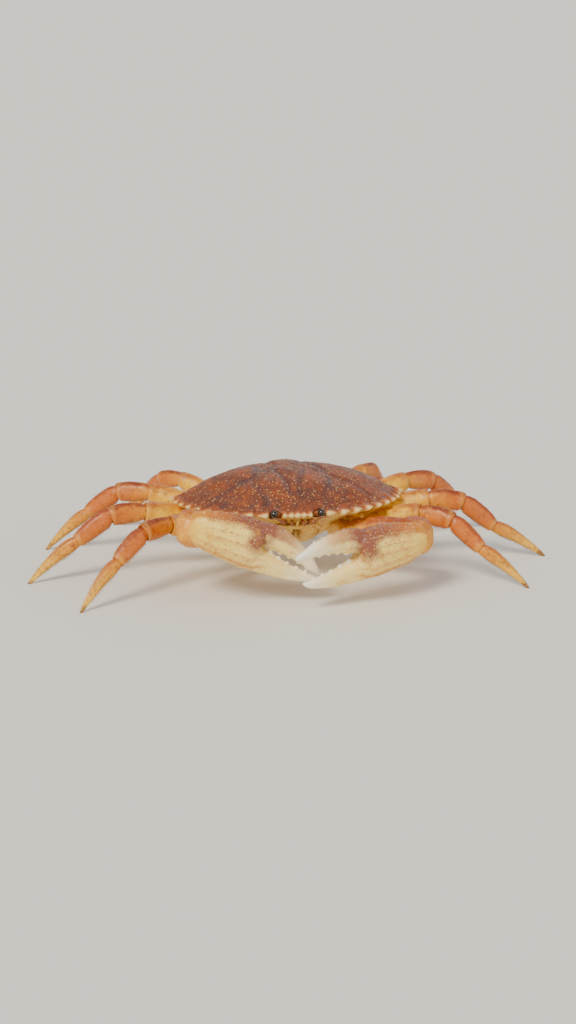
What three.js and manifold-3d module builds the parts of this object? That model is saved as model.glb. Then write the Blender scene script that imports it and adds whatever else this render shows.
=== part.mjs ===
// A Dungeness crab, life size, standing on its eight walking legs with both claws folded
// in front of its face. Millimetres, +Z up. The crab faces -Y and its left side is +X.
import * as THREE from "three";
import Module from "manifold-3d";

const wasm = await Module();
wasm.setup();

// Driving dimensions
const CARAPACE_WIDTH = 160;
const MARGIN_HEIGHT = 52; // height of the shell's sharp edge above the floor
const GAP = 0.3; // clear space between neighbouring pieces
const MITRE_REACH = 0.3; // share of a segment over which its end turns into the joint's plane

// Shell, seen from above: x to the side and f forward of the widest line
const UNIT = CARAPACE_WIDTH / 160;
const HALF_WIDTH = 80 * UNIT;
const FRONT_REACH = 58 * UNIT;
const REAR_REACH = 47 * UNIT;
const REAR_CORNER = 34 * UNIT;
const DOME_HEIGHT = 22 * UNIT;
const FLANK_DEPTH = 12 * UNIT;
const STERNUM_DEPTH = 26 * UNIT;
const TOOTH_REACH = 2.6 * UNIT;
const LAST_TOOTH_REACH = 4.6 * UNIT;
const TOOTH_PAIRS = 10;

const X = new THREE.Vector3(1, 0, 0);
const Z = new THREE.Vector3(0, 0, 1);
const DOWN = new THREE.Vector3(0, 0, -1);

// A point of the body: x to the crab's left, f forward, z above the shell's edge
const at = (x, f, z) => new THREE.Vector3(x, -f, MARGIN_HEIGHT + z);
const lerp = THREE.MathUtils.lerp;
const rad = THREE.MathUtils.degToRad;
const bell = (d, spread) => Math.exp(-(d * d) / (spread * spread));

// Value at t on a line through [t, value] stations
function along(stations, t, column = 1) {
  const next = stations.findIndex((station) => station[0] >= t);
  if (next <= 0) return stations.at(next)[column];
  const [a, b] = [stations[next - 1], stations[next]];
  return lerp(a[column], b[column], (t - a[0]) / (b[0] - a[0]));
}

// Closed solid through rings of points, with a fan over each end
function skin(rings) {
  const count = rings[0].length;
  const points = rings.flat();
  const middle = (ring) => ring.reduce((sum, p) => sum.add(p), new THREE.Vector3()).divideScalar(count);
  const first = points.push(middle(rings[0])) - 1;
  const last = points.push(middle(rings.at(-1))) - 1;
  const lastRing = (rings.length - 1) * count;
  const faces = [];
  for (let i = 0; i < count; i++) {
    const j = (i + 1) % count;
    for (let row = 0; row < lastRing; row += count) {
      faces.push([row + i, row + j, row + j + count], [row + i, row + j + count, row + i + count]);
    }
    faces.push([first, j, i], [last, lastRing + i, lastRing + j]);
  }
  return solidOf(points, faces);
}

// Solid of points and triangles, turned right way out
function solidOf(points, faces) {
  const volume = faces.reduce((sum, [a, b, c]) => {
    return sum + points[a].dot(new THREE.Vector3().crossVectors(points[b], points[c]));
  }, 0);
  const facing = volume > 0 ? faces : faces.map(([a, b, c]) => [a, c, b]);
  const mesh = new wasm.Mesh({
    numProp: 3,
    vertProperties: new Float32Array(points.flatMap((p) => p.toArray())),
    triVerts: new Uint32Array(facing.flat()),
  });
  return new wasm.Manifold(mesh);
}

const join = (pieces) => pieces.reduce((whole, piece) => whole.add(piece));
const cut = (whole, pieces) => pieces.reduce((rest, piece) => rest.subtract(piece), whole);

// Keeps the largest closed surface of a solid
function largest(solid) {
  return solid.decompose().sort((a, b) => b.volume() - a.volume())[0];
}

// Oval section: height lies along up, thickness along side, and power squares it off
function oval({ centre, up, side, height, thickness, sides, power = 2, ridge = 0 }) {
  const bend = (value) => Math.sign(value) * Math.abs(value) ** (2 / power);
  return Array.from({ length: sides }, (_, i) => {
    const turn = (i / sides) * 2 * Math.PI;
    const swell = 1 + (i % 2 ? -ridge : ridge);
    return centre
      .clone()
      .addScaledVector(up, (bend(Math.sin(turn)) * height * swell) / 2)
      .addScaledVector(side, (bend(Math.cos(turn)) * thickness * swell) / 2);
  });
}

// One segment of a limb between two joints. Each end lies in its joint's plane, so that
// neighbours meet face to face. Stations are [share of the length, height, thickness].
function segment({ from, to, startPlane, endPlane, stations, up = Z, bow = 0, sides = 10, power = 2,
  grow = 0, endGap = GAP / 2 }) {
  const axis = to.clone().sub(from).normalize();
  const start = from.clone().addScaledVector(startPlane ?? axis, startPlane ? GAP / 2 : 0);
  const end = to.clone().addScaledVector(endPlane ?? axis, endPlane ? -endGap : 0);
  start.addScaledVector(axis, -grow);
  if (grow) end.addScaledVector(axis, grow);
  const rise = up.clone().addScaledVector(axis, -up.dot(axis)).normalize();
  const side = new THREE.Vector3().crossVectors(axis, rise);
  const slide = (point, plane, normal, share) => {
    const distance = plane.clone().sub(point).dot(normal) / axis.dot(normal);
    return point.addScaledVector(axis, distance * share);
  };
  const rings = stations.map(([t, height, thickness]) => {
    const centre = start.clone().lerp(end, t).addScaledVector(rise, 4 * bow * t * (1 - t));
    const ring = oval({ centre, up: rise, side, height: height + 2 * grow, thickness: thickness + 2 * grow,
      sides, power });
    const nearStart = Math.max(0, 1 - t / MITRE_REACH);
    const nearEnd = Math.max(0, 1 - (1 - t) / MITRE_REACH);
    const length = start.distanceTo(end);
    return ring.map((point) => {
      if (startPlane && nearStart) {
        slide(point, start.clone().addScaledVector(axis, t * length), startPlane, nearStart);
      }
      if (endPlane && nearEnd) {
        slide(point, end.clone().addScaledVector(axis, (t - 1) * length), endPlane, nearEnd);
      }
      return point;
    });
  });
  return skin(rings);
}

// Blunt or sharp cone with its root sunk in what it grows from
function spine(root, direction, length, radius, { sides = 5, sink = 2, tip = 0.25 } = {}) {
  const axis = direction.clone().normalize();
  const start = root.clone().addScaledVector(axis, -sink);
  const across = 2 * radius;
  const stations = [[0, across, across], [sink / (sink + length), across, across],
    [1, tip * across, tip * across]];
  const up = Math.abs(axis.z) > 0.9 ? X : Z;
  return segment({ from: start, to: root.clone().addScaledVector(axis, length), stations, sides, up });
}

// Shell

// Radius of the smooth outline, seen from above, at an angle from straight ahead
function outline(angle) {
  const [s, c] = [Math.sin(angle), Math.cos(angle)];
  const front = 1 / Math.hypot(s / HALF_WIDTH, c / FRONT_REACH);
  if (c >= 0) return front;
  const flank = (HALF_WIDTH * REAR_REACH) / (REAR_REACH * s + (HALF_WIDTH - REAR_CORNER) * -c);
  const rear = REAR_REACH / -c;
  return (flank ** -9 + rear ** -9) ** (-1 / 9);
}

// Radius of the lip where the shell's flank ends above the leg bases
const LIP = [[0, 46], [25, 44], [60, 41], [90, 43], [125, 41], [150, 43], [180, 43.5]];
const lip = (angle) => UNIT * along(LIP, THREE.MathUtils.radToDeg(angle));

// Brow between the eyes, from the middle outward: three small teeth and the eye's notch, as [x, f]
const BROW = [[0, 61.6], [2.2, 59], [4.6, 61.2], [7, 58.6], [9.6, 60.8], [11.4, 57], [15.4, 54.6],
  [19.2, 56.4]];
// Side teeth, in degrees round the edge's ellipse: first and last tip, and each tooth's notch and shoulder
const TOOTH_TURN = { first: 15.6, last: 88, notch: -1.7, shoulder: 3.4 };
const NOTCH_REACH = -0.5;
const TOOTH_LEAN = 1.6;
const SHOULDER_SHARE = 0.45;
const REAR_TURNS = [99, 110, 121, 132, 139, 144, 149, 158, 170, 180];

// Samples round half of the edge: [angle, outward reach, forward lean]
function edgeSamples() {
  const front = BROW.map(([x, f]) => {
    const angle = Math.atan2(x, f);
    return [angle, Math.hypot(x, f) * UNIT - outline(angle), 0];
  });
  const polar = (turn) => Math.atan2(HALF_WIDTH * Math.sin(rad(turn)), FRONT_REACH * Math.cos(rad(turn)));
  const teeth = Array.from({ length: TOOTH_PAIRS }, (_, k) => {
    const turn = lerp(TOOTH_TURN.first, TOOTH_TURN.last, k / (TOOTH_PAIRS - 1));
    const reach = k === TOOTH_PAIRS - 1 ? LAST_TOOTH_REACH : TOOTH_REACH;
    const notch = [polar(turn + TOOTH_TURN.notch), NOTCH_REACH, 0];
    const tip = [polar(turn), reach, TOOTH_LEAN];
    const shoulder = [polar(turn + TOOTH_TURN.shoulder), reach * SHOULDER_SHARE, 0];
    return k === 0 ? [tip, shoulder] : [notch, tip, shoulder];
  }).flat();
  const rear = REAR_TURNS.map((angle) => [rad(angle), 0, 0]);
  return [...front, ...teeth, ...rear];
}

// Swellings of the shell over the organs: [x, f, spread across, spread along, height]
const SWELLINGS = [[0, 14, 13, 12, 1.6], [16, 33, 11, 10, 1.5], [0, -20, 10, 11, 1.5], [45, 10, 16, 11, 1.5],
  [40, -14, 15, 11, 1.3], [42, 33, 11, 8, 1.1], [17, -2, 5, 16, -1.3], [30, 24, 5, 9, -1.0]];

const DOME_FALL = 2.6; // how late the dome drops towards its edge
const SWELLING_FALL = 5;

// Height of the shell above its edge at a point, share of the way out to the edge
function domeHeight(x, f, share) {
  const lobes = SWELLINGS.reduce((sum, [cx, cf, sx, sf, height]) => {
    const across = bell(Math.abs(x) / UNIT - cx, sx);
    const fore = bell(f / UNIT - cf, sf);
    return sum + height * across * fore;
  }, 0);
  return DOME_HEIGHT * (1 - share ** DOME_FALL) + lobes * UNIT * (1 - share ** SWELLING_FALL);
}

// The edge stands a little higher in front than behind
const EDGE_TILT = 1.5;
const edgeLevel = (angle) => EDGE_TILT * Math.cos(angle) * UNIT;

// Rings of the shell: shares of the way out over the dome, then [inward, downward] shares of the flank
const DOME_SHARES = [0.16, 0.32, 0.48, 0.62, 0.75, 0.86, 0.94, 1];
const FLANK_SHARES = [[0.1, 0.16], [0.4, 0.45], [0.75, 0.8], [1, 1]];
const UNDER_EDGE = 0.97; // the flank starts a little inside the teeth

function carapaceBlank() {
  const half = edgeSamples();
  const mirrored = half.slice(1, -1).reverse().map(([angle, reach, lean]) => [-angle, reach, lean]);
  const samples = [...half, ...mirrored];
  const edgePoint = ([angle, reach, lean], share) => {
    const fade = share === 1 ? 1 : Math.max(0, 1 - (1 - share) * 9) / 2;
    const radius = outline(Math.abs(angle)) * share + reach * UNIT * fade;
    return [radius * Math.sin(angle), radius * Math.cos(angle) + lean * fade * UNIT];
  };
  const dome = DOME_SHARES.map((share) => samples.map((sample) => {
    const [x, f] = edgePoint(sample, share);
    return at(x, f, domeHeight(x, f, share) + edgeLevel(sample[0]) * share);
  }));
  const flank = FLANK_SHARES.map(([inward, drop], row) => samples.map((sample) => {
    const [angle] = sample;
    const [x, f] = edgePoint(sample, row ? UNDER_EDGE : 1);
    const inner = lip(Math.abs(angle));
    return at(lerp(x, inner * Math.sin(angle), inward), lerp(f, inner * Math.cos(angle), inward),
      lerp(edgeLevel(angle), -FLANK_DEPTH, drop));
  }));
  return skin([...dome, ...flank]);
}

// Lower body: breastplate and the walls that carry the limbs, as [level, share across, share along]
const WALL = [[-FLANK_DEPTH / UNIT, 1, 1], [-18, 0.93, 0.9], [-23, 0.74, 0.76],
  [-STERNUM_DEPTH / UNIT, 0.6, 0.64]];
const WALL_SIDES = 36;

function thoraxBlank() {
  const rings = WALL.map(([level, across, fore], k) => Array.from({ length: WALL_SIDES }, (_, i) => {
    const angle = (i / WALL_SIDES) * 2 * Math.PI;
    const radius = lip(Math.min(angle, 2 * Math.PI - angle)) - GAP;
    return at(radius * Math.sin(angle) * across, radius * Math.cos(angle) * fore,
      level * UNIT - (k === 0 ? GAP : 0));
  }));
  return skin(rings);
}

// Limbs

// Direction that points out of the crab's side: turn is forward of straight out, rise above level
function heading(hand, turn, rise) {
  const flat = Math.cos(rad(rise));
  const outward = hand * flat * Math.cos(rad(turn));
  const forward = flat * Math.sin(rad(turn));
  return new THREE.Vector3(outward, -forward, Math.sin(rad(rise)));
}

// Plane normal half way between two directions
const mitre = (a, b) => a.clone().add(b).normalize();

// Height and thickness of each segment of a walking leg, along its length
const LEG_SHAPES = {
  base: [[0, 12, 11.4], [0.3, 13.6, 12], [0.5, 12, 10.6], [0.62, 12.6, 11], [1, 12, 10]],
  merus: [[0, 12, 9.8], [0.14, 15, 11], [0.42, 18, 12.4], [0.72, 17.4, 12.2], [0.92, 15, 11.4],
    [1, 13, 10.6]],
  carpus: [[0, 11.4, 9.6], [0.22, 13.6, 10.8], [0.6, 15.2, 11.8], [0.88, 14, 11], [1, 11.8, 10]],
  propodus: [[0, 11, 9], [0.2, 13.4, 10.2], [0.55, 13, 9.8], [0.88, 10.8, 8.6], [1, 9.4, 7.8]],
  dactyl: [[0, 8.8, 7.2], [0.16, 9.8, 7.8], [0.45, 7.8, 6.2], [0.75, 4.9, 4], [0.92, 2.8, 2.4],
    [1, 1.8, 1.7]],
};
// The last leg ends in a flatter, leaf-shaped paddle
const PADDLE_SHAPES = {
  ...LEG_SHAPES,
  propodus: [[0, 11, 7.8], [0.2, 14, 8.4], [0.55, 14.4, 8], [0.88, 11.6, 7], [1, 10, 6.4]],
  dactyl: [[0, 9.2, 6], [0.18, 11, 5.8], [0.45, 9.6, 4.8], [0.75, 6, 3.2], [0.92, 3.1, 2.2], [1, 1.8, 1.7]],
};

// Walking legs, front to back: socket [x, f, z], size, forward turn of each segment, and rise of each
// segment above level. The dactyl's rise follows from the height that is left to the floor.
const LEGS = [
  { socket: [33, 11, -19], size: 0.95, shapes: LEG_SHAPES,
    turn: [24, 31, 33, 31, 28], rise: [-3, 18, -4, -37] },
  { socket: [35, -2.5, -19], size: 1, shapes: LEG_SHAPES,
    turn: [5, 7, 8, 6, 4], rise: [-3, 16, -3, -36] },
  { socket: [33, -16, -19], size: 0.96, shapes: LEG_SHAPES,
    turn: [-16, -20, -22, -20, -17], rise: [-3, 19, -5, -38] },
  { socket: [27, -28, -18], size: 0.84, shapes: PADDLE_SHAPES,
    turn: [-40, -46, -50, -47, -43], rise: [-4, 20, -12, -46] },
];
const LEG_LENGTHS = { base: 21, merus: 49, carpus: 25, propodus: 29, dactyl: 45 };
const LEG_PARTS = Object.keys(LEG_LENGTHS);
const LEG_LEAN = 0.35; // how far back each leg's upper edge leans, against its height
// The crab's left legs, on the photo's right, are drawn in a little; its right legs reach further out
const SPREAD = { right: { turn: 3, rise: 2 }, left: { turn: -2, rise: -3 } };

function legJoints(leg, side) {
  const hand = side === "left" ? 1 : -1;
  const [x, f, z] = leg.socket;
  const joints = [at(hand * x, f, z)];
  const lean = SPREAD[side];
  LEG_PARTS.forEach((part, k) => {
    const length = LEG_LENGTHS[part] * leg.size;
    const height = joints[k].z;
    const bent = leg.rise[k] + (k > 1 ? lean.rise : 0);
    const rise = part === "dactyl" ? THREE.MathUtils.radToDeg(-Math.asin(height / length)) : bent;
    const turn = leg.turn[k] + lean.turn * Math.sign(k);
    joints.push(joints[k].clone().addScaledVector(heading(hand, turn, rise), length));
  });
  return joints;
}

// Segment specifications of a walking leg, so that the same call can be made again for its socket
function legSegments(leg, side) {
  const joints = legJoints(leg, side);
  const axes = joints.slice(1).map((joint, k) => joint.clone().sub(joints[k]).normalize());
  const turn = rad(leg.turn[1]);
  const backward = new THREE.Vector3((side === "left" ? 1 : -1) * Math.sin(turn), Math.cos(turn), 0);
  return LEG_PARTS.map((part, k) => ({
    part,
    up: Z.clone().addScaledVector(backward, LEG_LEAN),
    from: joints[k],
    to: joints[k + 1],
    startPlane: k ? mitre(axes[k - 1], axes[k]) : undefined,
    endPlane: part === "dactyl" ? DOWN : mitre(axes[k], axes[k + 1]),
    endGap: part === "dactyl" ? 0 : GAP / 2,
    stations: leg.shapes[part].map(([t, height, thickness]) => [t, height * leg.size, thickness * leg.size]),
    bow: part === "dactyl" ? 1.6 : 0.5,
    sides: part === "dactyl" ? 8 : 10,
    power: part === "merus" ? 1.9 : 2.2,
  }));
}

// Claws

// Hand, in its own plane: s along the hand from the wrist, y up; [s, centre, height, thickness]
const PALM = [[0, 0, 17, 14], [5, 0.5, 23, 18], [15, 0, 29, 22], [30, -0.5, 34, 24], [42, -1.8, 36, 24],
  [47.5, -3, 33.4, 21.5], [50.5, -3.6, 26, 15]];
const FIXED_FINGER = [[32, -6, 22, 19], [42, -8, 22, 19.5], [51, -11.2, 17.6, 17], [62, -13.6, 13.5, 12.8],
  [75, -15.4, 9.6, 9], [86, -15.4, 5.8, 5.6], [92.5, -13.6, 1.6, 1.6]];
const MOVING_FINGER = [[43.5, 6, 15, 12], [50, 7.6, 17, 13.5], [58, 7, 16.4, 13], [69, 3.4, 13.6, 11],
  [80, -2.2, 10, 8.4], [88, -7.6, 6.4, 5.4], [94, -12, 1.8, 1.8]];
const HINGE = [46.5, 6.5];
const FINGER_TEETH = 5;
const FINGER_TEETH_SPAN = [57, 84];
const PALM_CREST = { from: 10, to: 42, count: 6, length: 2.6 };
const FINGER_CREST = { from: 56, to: 78, count: 4, length: 1.8 };

const CLAWS = {
  // wrist and elbow [x, f, z], hand's forward turn from straight inward, its rise, and finger opening
  right: { elbow: [70, 57, -8], wrist: [77, 79, 4], turn: 8, rise: -15, roll: 4, open: 1 },
  left: { elbow: [75, 57, -13], wrist: [83, 82, -11], turn: 18, rise: -4, roll: 6, open: 20 },
};
const SHOULDER = [29, 25, -17];
const ISCHIUM_END = [39, 35, -17.5];
const ARM_SHAPE = [[0, 13, 12], [0.3, 17, 14], [0.65, 19.5, 15], [0.9, 18, 14.5], [1, 16, 13.5]];
const WRIST_SHAPE = [[0, 15, 14], [0.15, 20, 19], [0.4, 25, 22], [0.75, 25.6, 22.4], [0.95, 22, 19],
  [1.1, 14, 12], [1.16, 7, 6]];
const SHOULDER_SHAPE = [[0, 13, 12.5], [0.4, 15, 13.5], [0.65, 13, 12], [1, 13, 12]];

// Axes of a claw's hand in the body: length, up and outward
function handAxes(side) {
  const hand = side === "left" ? 1 : -1;
  const { turn, rise, roll } = CLAWS[side];
  const length = heading(-hand, turn, rise);
  const upright = Z.clone().addScaledVector(length, -Z.dot(length)).normalize();
  const up = upright.applyAxisAngle(length, rad(-hand * roll));
  const outward = new THREE.Vector3().crossVectors(up, length).multiplyScalar(-hand);
  return { length, up, outward };
}

// A point of the hand, with the moving finger turned open about its hinge
function handPoint(side, s, y, out = 0, open = 0) {
  const hand = side === "left" ? 1 : -1;
  const { length, up, outward } = handAxes(side);
  const [ds, dy] = [s - HINGE[0], y - HINGE[1]];
  const [c, n] = [Math.cos(rad(open)), Math.sin(rad(open))];
  const [turnedS, turnedY] = open ? [HINGE[0] + ds * c - dy * n, HINGE[1] + ds * n + dy * c] : [s, y];
  const [x, f, z] = CLAWS[side].wrist;
  return at(hand * x, f, z)
    .addScaledVector(length, turnedS)
    .addScaledVector(up, turnedY)
    .addScaledVector(outward, out);
}

// Rings of the hand or a finger through its stations, each square to the centre line
function handRings(side, stations, { open = 0, sides = 12, power = 2.3, ridge = 0, grow = 0 } = {}) {
  const { outward } = handAxes(side);
  const centres = stations.map(([s, y]) => handPoint(side, s, y, 0, open));
  return stations.map(([, , height, thickness], k) => {
    const before = centres[Math.max(0, k - 1)];
    const after = centres[Math.min(centres.length - 1, k + 1)];
    const axis = after.clone().sub(before).normalize();
    const up = new THREE.Vector3().crossVectors(outward, axis).normalize();
    const facing = up.dot(handAxes(side).up) < 0 ? -1 : 1;
    const centre = centres[k].clone().addScaledVector(axis, k ? grow * Math.sign(k) : -grow);
    return oval({ centre, up: up.multiplyScalar(facing), side: outward, height: height + 2 * grow,
      thickness: thickness + 2 * grow, sides, power, ridge: k > 0 && k < 5 ? ridge : 0 });
  });
}

// Blunt teeth along the edge of a finger that faces the other one
function fingerTeeth(side, stations, lower, open) {
  return Array.from({ length: FINGER_TEETH }, (_, k) => {
    const s = lerp(...FINGER_TEETH_SPAN, k / (FINGER_TEETH - 1));
    const centre = along(stations, s);
    const height = along(stations, s, 2);
    const toward = lower ? 1 : -1;
    const root = handPoint(side, s, centre + (toward * height) / 2, 0, open);
    const aim = handPoint(side, s, centre + toward * (height / 2 + 1), 0, open).sub(root);
    const size = (k % 2 ? 1.15 : 0.9) * lerp(1, 0.6, k / FINGER_TEETH);
    return spine(root, aim, 2 * size, 2.3 * size, { sides: 6, tip: 0.5, sink: 2.4 });
  });
}

// Row of spines along the upper edge of the hand or finger
function crest(side, stations, { from, to, count, length }, open) {
  return Array.from({ length: count }, (_, k) => {
    const s = lerp(from, to, k / (count - 1));
    const top = along(stations, s) + along(stations, s, 2) / 2 - 0.4;
    const root = handPoint(side, s, top, 1, open);
    const aim = handPoint(side, s + 1.4, top + 2, 1.2, open).sub(root);
    return spine(root, aim, length * lerp(1, 0.8, k / count), 1.5);
  });
}

function clawPieces(side) {
  const hand = side === "left" ? 1 : -1;
  const claw = CLAWS[side];
  const place = ([x, f, z]) => at(hand * x, f, z);
  const [shoulder, hip, elbow, wrist] = [SHOULDER, ISCHIUM_END, claw.elbow, claw.wrist].map(place);
  const axes = [hip.clone().sub(shoulder), elbow.clone().sub(hip), wrist.clone().sub(elbow)];
  axes.forEach((axis) => axis.normalize());
  const hipPlane = mitre(axes[0], axes[1]);
  const elbowPlane = mitre(axes[1], axes[2]);
  const base = { from: shoulder, to: hip, endPlane: hipPlane, stations: SHOULDER_SHAPE, sides: 12 };
  const merus = segment({ from: hip, to: elbow, startPlane: hipPlane, endPlane: elbowPlane,
    stations: ARM_SHAPE, sides: 12, power: 2.4 });
  const wristShape = (grow) => segment({ from: elbow, to: wrist, startPlane: elbowPlane,
    stations: WRIST_SHAPE, sides: 12, power: 2.6, grow });
  const inward = X.clone().multiplyScalar(-hand);
  const innerCorner = wrist.clone().lerp(elbow, 0.6).addScaledVector(inward, 8).addScaledVector(Z, 6);
  const top = wrist.clone().lerp(elbow, 0.5).addScaledVector(Z, 10.5);
  const ahead = inward.clone().add(new THREE.Vector3(0, -0.25, 0.9));
  const studs = [-5, 1, 7].map((shift) => {
    return spine(top.clone().addScaledVector(X, shift), new THREE.Vector3(0, -0.5, 1), 2.6, 1.6);
  });
  const carpus = join([wristShape(0), spine(innerCorner, ahead, 7, 2.6, { sink: 4 }), ...studs]);
  const fingerRings = (grow) => handRings(side, MOVING_FINGER, { open: claw.open, grow });
  const finger = join([skin(fingerRings(0)), ...fingerTeeth(side, MOVING_FINGER, false, claw.open),
    ...crest(side, MOVING_FINGER, FINGER_CREST, claw.open)]);
  const palm = join([skin(handRings(side, PALM, { sides: 20, ridge: 0.018 })),
    skin(handRings(side, FIXED_FINGER)), ...fingerTeeth(side, FIXED_FINGER, true, 0),
    ...crest(side, PALM, PALM_CREST, 0)]);
  return {
    base,
    pieces: { merus, carpus, palm: largest(cut(palm, [skin(fingerRings(GAP)), wristShape(GAP)])), finger },
  };
}

// Head and tail

// Hollow under the brow that the eye sits in: its middle [x, f, z] and its half sizes
const ORBIT = [15.4, 57, 1.2];
const ORBIT_SIZE = new THREE.Vector3(4.6, 6, 4.4);
const EYE = { root: [11, 51.5, 0.5], tip: [16.2, 57.6, 2.8], radius: 2.7 };
const STALK_SHAPE = [[0, 4.4, 4.4], [0.45, 3.8, 3.8], [1, 4.2, 4.2]];

// A point [x, f, z] of the body's left half, or its mirror image
const paired = (hand, [x, f, z]) => at(hand * x, f, z);

function eyeShape(hand, grow) {
  const tip = paired(hand, EYE.tip);
  const stalk = segment({ from: paired(hand, EYE.root), to: tip, stations: STALK_SHAPE, grow });
  const ball = new THREE.SphereGeometry(EYE.radius + grow, 14, 10);
  return stalk.add(fromGeometry(ball, tip));
}

// Solid of a closed three.js geometry, moved to a place
function fromGeometry(geometry, place, scale = new THREE.Vector3(1, 1, 1)) {
  const position = geometry.getAttribute("position");
  const keys = new Map();
  const points = [];
  const index = Array.from({ length: position.count }, (_, i) => {
    const point = new THREE.Vector3().fromBufferAttribute(position, i).multiply(scale);
    const key = point.toArray().map((value) => Math.round(value * 1e4)).join();
    if (!keys.has(key)) keys.set(key, points.push(point.add(place)) - 1);
    return keys.get(key);
  });
  const faces = [];
  for (let i = 0; i < geometry.index.count; i += 3) {
    const face = [0, 1, 2].map((k) => index[geometry.index.getX(i + k)]);
    if (new Set(face).size === 3) faces.push(face);
  }
  return solidOf(points, faces);
}

const ANTENNA = { root: [8.6, 51, -4.5], knee: [11.4, 61, -2.5], tip: [21, 76, 5] };
const ANTENNA_FOOT = [[0, 4.6, 4.6], [0.5, 4.2, 4.2], [0.8, 3.4, 3.4], [1, 2.8, 2.8]];
const ANTENNA_WHIP = [[0, 2.2, 2.2], [0.3, 1.8, 1.8], [0.65, 1.3, 1.3], [1, 0.8, 0.8]];

function antennaShape(hand, grow) {
  const [root, knee, tip] = [ANTENNA.root, ANTENNA.knee, ANTENNA.tip].map((point) => paired(hand, point));
  const foot = segment({ from: root, to: knee, stations: ANTENNA_FOOT, sides: 8, grow });
  const whipRoot = knee.clone().lerp(root, 0.15);
  const whip = segment({ from: whipRoot, to: tip, bow: 1.5, stations: ANTENNA_WHIP, sides: 6, grow });
  return foot.add(whip);
}

// Mouth cover: a hinged pair of plates with a palp over the inner edge and a side blade
const MOUTH_FACING = new THREE.Vector3(0, -1, -1.35).normalize();
const MOUTH_PARTS = [
  { from: [7, 27, -26], to: [7.6, 51, -8.6], sides: 12, power: 3.4,
    stations: [[0, 3.6, 8], [0.2, 4.8, 11.6], [0.62, 5, 12.6], [0.66, 3.8, 12], [0.7, 5, 12.4],
      [0.92, 4.4, 11], [1, 3.2, 8]] },
  { from: [13, 27, -25], to: [15.4, 47, -10.6], sides: 8,
    stations: [[0, 3, 3.4], [0.5, 3.6, 4], [1, 2.4, 2.4]] },
  { from: [6, 51, -10.2], to: [3.4, 44, -17.4], sides: 8,
    stations: [[0, 3.4, 3.4], [0.5, 3.6, 3.4], [1, 1.8, 1.8]] },
];

function mouthShape(hand, grow) {
  return join(MOUTH_PARTS.map(({ from, to, ...shape }) => {
    return segment({ from: paired(hand, from), to: paired(hand, to), up: MOUTH_FACING, grow, ...shape });
  }));
}

// Tail flap: seven plates from behind the shell, round the rear and forward under the breastplate,
// as [f, z, width] at each joint
const TAIL = [[-45.4, -6, 38], [-47.4, -11, 40], [-45, -16.6, 38], [-38.6, -22, 33], [-28, -25.8, 26],
  [-14, -27.2, 18], [1, -27, 12], [14, -26, 5]];
const TAIL_CURL = 0.006; // fall towards the sides, for each square millimetre from the middle
const TAIL_THICK = 2.8;
const TAIL_LIP = 3.8; // thickness of each plate's hind edge, which stands over the next plate

function tailShape(grow) {
  const centres = TAIL.map(([f, z]) => at(0, f, z));
  const rings = [];
  TAIL.forEach(([, , width], k) => {
    const before = centres[Math.max(0, k - 1)];
    const after = centres[Math.min(TAIL.length - 1, k + 1)];
    const axis = after.clone().sub(before).normalize();
    const up = new THREE.Vector3().crossVectors(X, axis);
    const isEnd = k === 0 || k === TAIL.length - 1;
    const steps = isEnd ? [[0, TAIL_THICK, 1]] : [[-0.8, TAIL_LIP, 1], [0.3, TAIL_THICK, 0.96]];
    const push = isEnd ? grow * (k ? 1 : -1) : 0;
    steps.forEach(([shift, thick, share]) => {
      const centre = centres[k].clone().addScaledVector(axis, shift + push);
      const across = (width + 2 * grow) * share;
      const height = thick + 2 * grow;
      const ring = oval({ centre, up, side: X, height, thickness: across, sides: 16, power: 3 });
      rings.push(ring.map((point) => point.addScaledVector(up, -TAIL_CURL * point.x ** 2)));
    });
  });
  return skin(rings);
}

// Assembly

const FINISHES = {
  shell: { color: "#8a5238", roughness: 0.55, metalness: 0 },
  underside: { color: "#e6cf95", roughness: 0.6, metalness: 0 },
  arm: { color: "#d9a254", roughness: 0.5, metalness: 0 },
  hand: { color: "#ecd58e", roughness: 0.45, metalness: 0 },
  merus: { color: "#e3bd58", roughness: 0.5, metalness: 0 },
  shin: { color: "#d07f33", roughness: 0.5, metalness: 0 },
  dactyl: { color: "#d99a3e", roughness: 0.45, metalness: 0 },
  eye: { color: "#1b1512", roughness: 0.15, metalness: 0 },
  feeler: { color: "#a5603a", roughness: 0.6, metalness: 0 },
};
const LEG_FINISH = { base: "underside", merus: "merus", carpus: "shin", propodus: "shin", dactyl: "dactyl" };
const CLAW_FINISH = { base: "underside", merus: "arm", carpus: "arm", palm: "hand", finger: "hand" };

const materials = Object.fromEntries(Object.entries(FINISHES).map(([name, finish]) => {
  return [name, new THREE.MeshStandardMaterial({ name, ...finish })];
}));

const crab = new THREE.Group();

function place(name, solid, finish) {
  const made = solid.getMesh();
  const geometry = new THREE.BufferGeometry();
  geometry.setAttribute("position", new THREE.BufferAttribute(new Float32Array(made.vertProperties), 3));
  geometry.setIndex(new THREE.BufferAttribute(new Uint32Array(made.triVerts), 1));
  const mesh = new THREE.Mesh(geometry, materials[finish]);
  mesh.name = name;
  crab.add(mesh);
}

const sockets = [];

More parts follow.
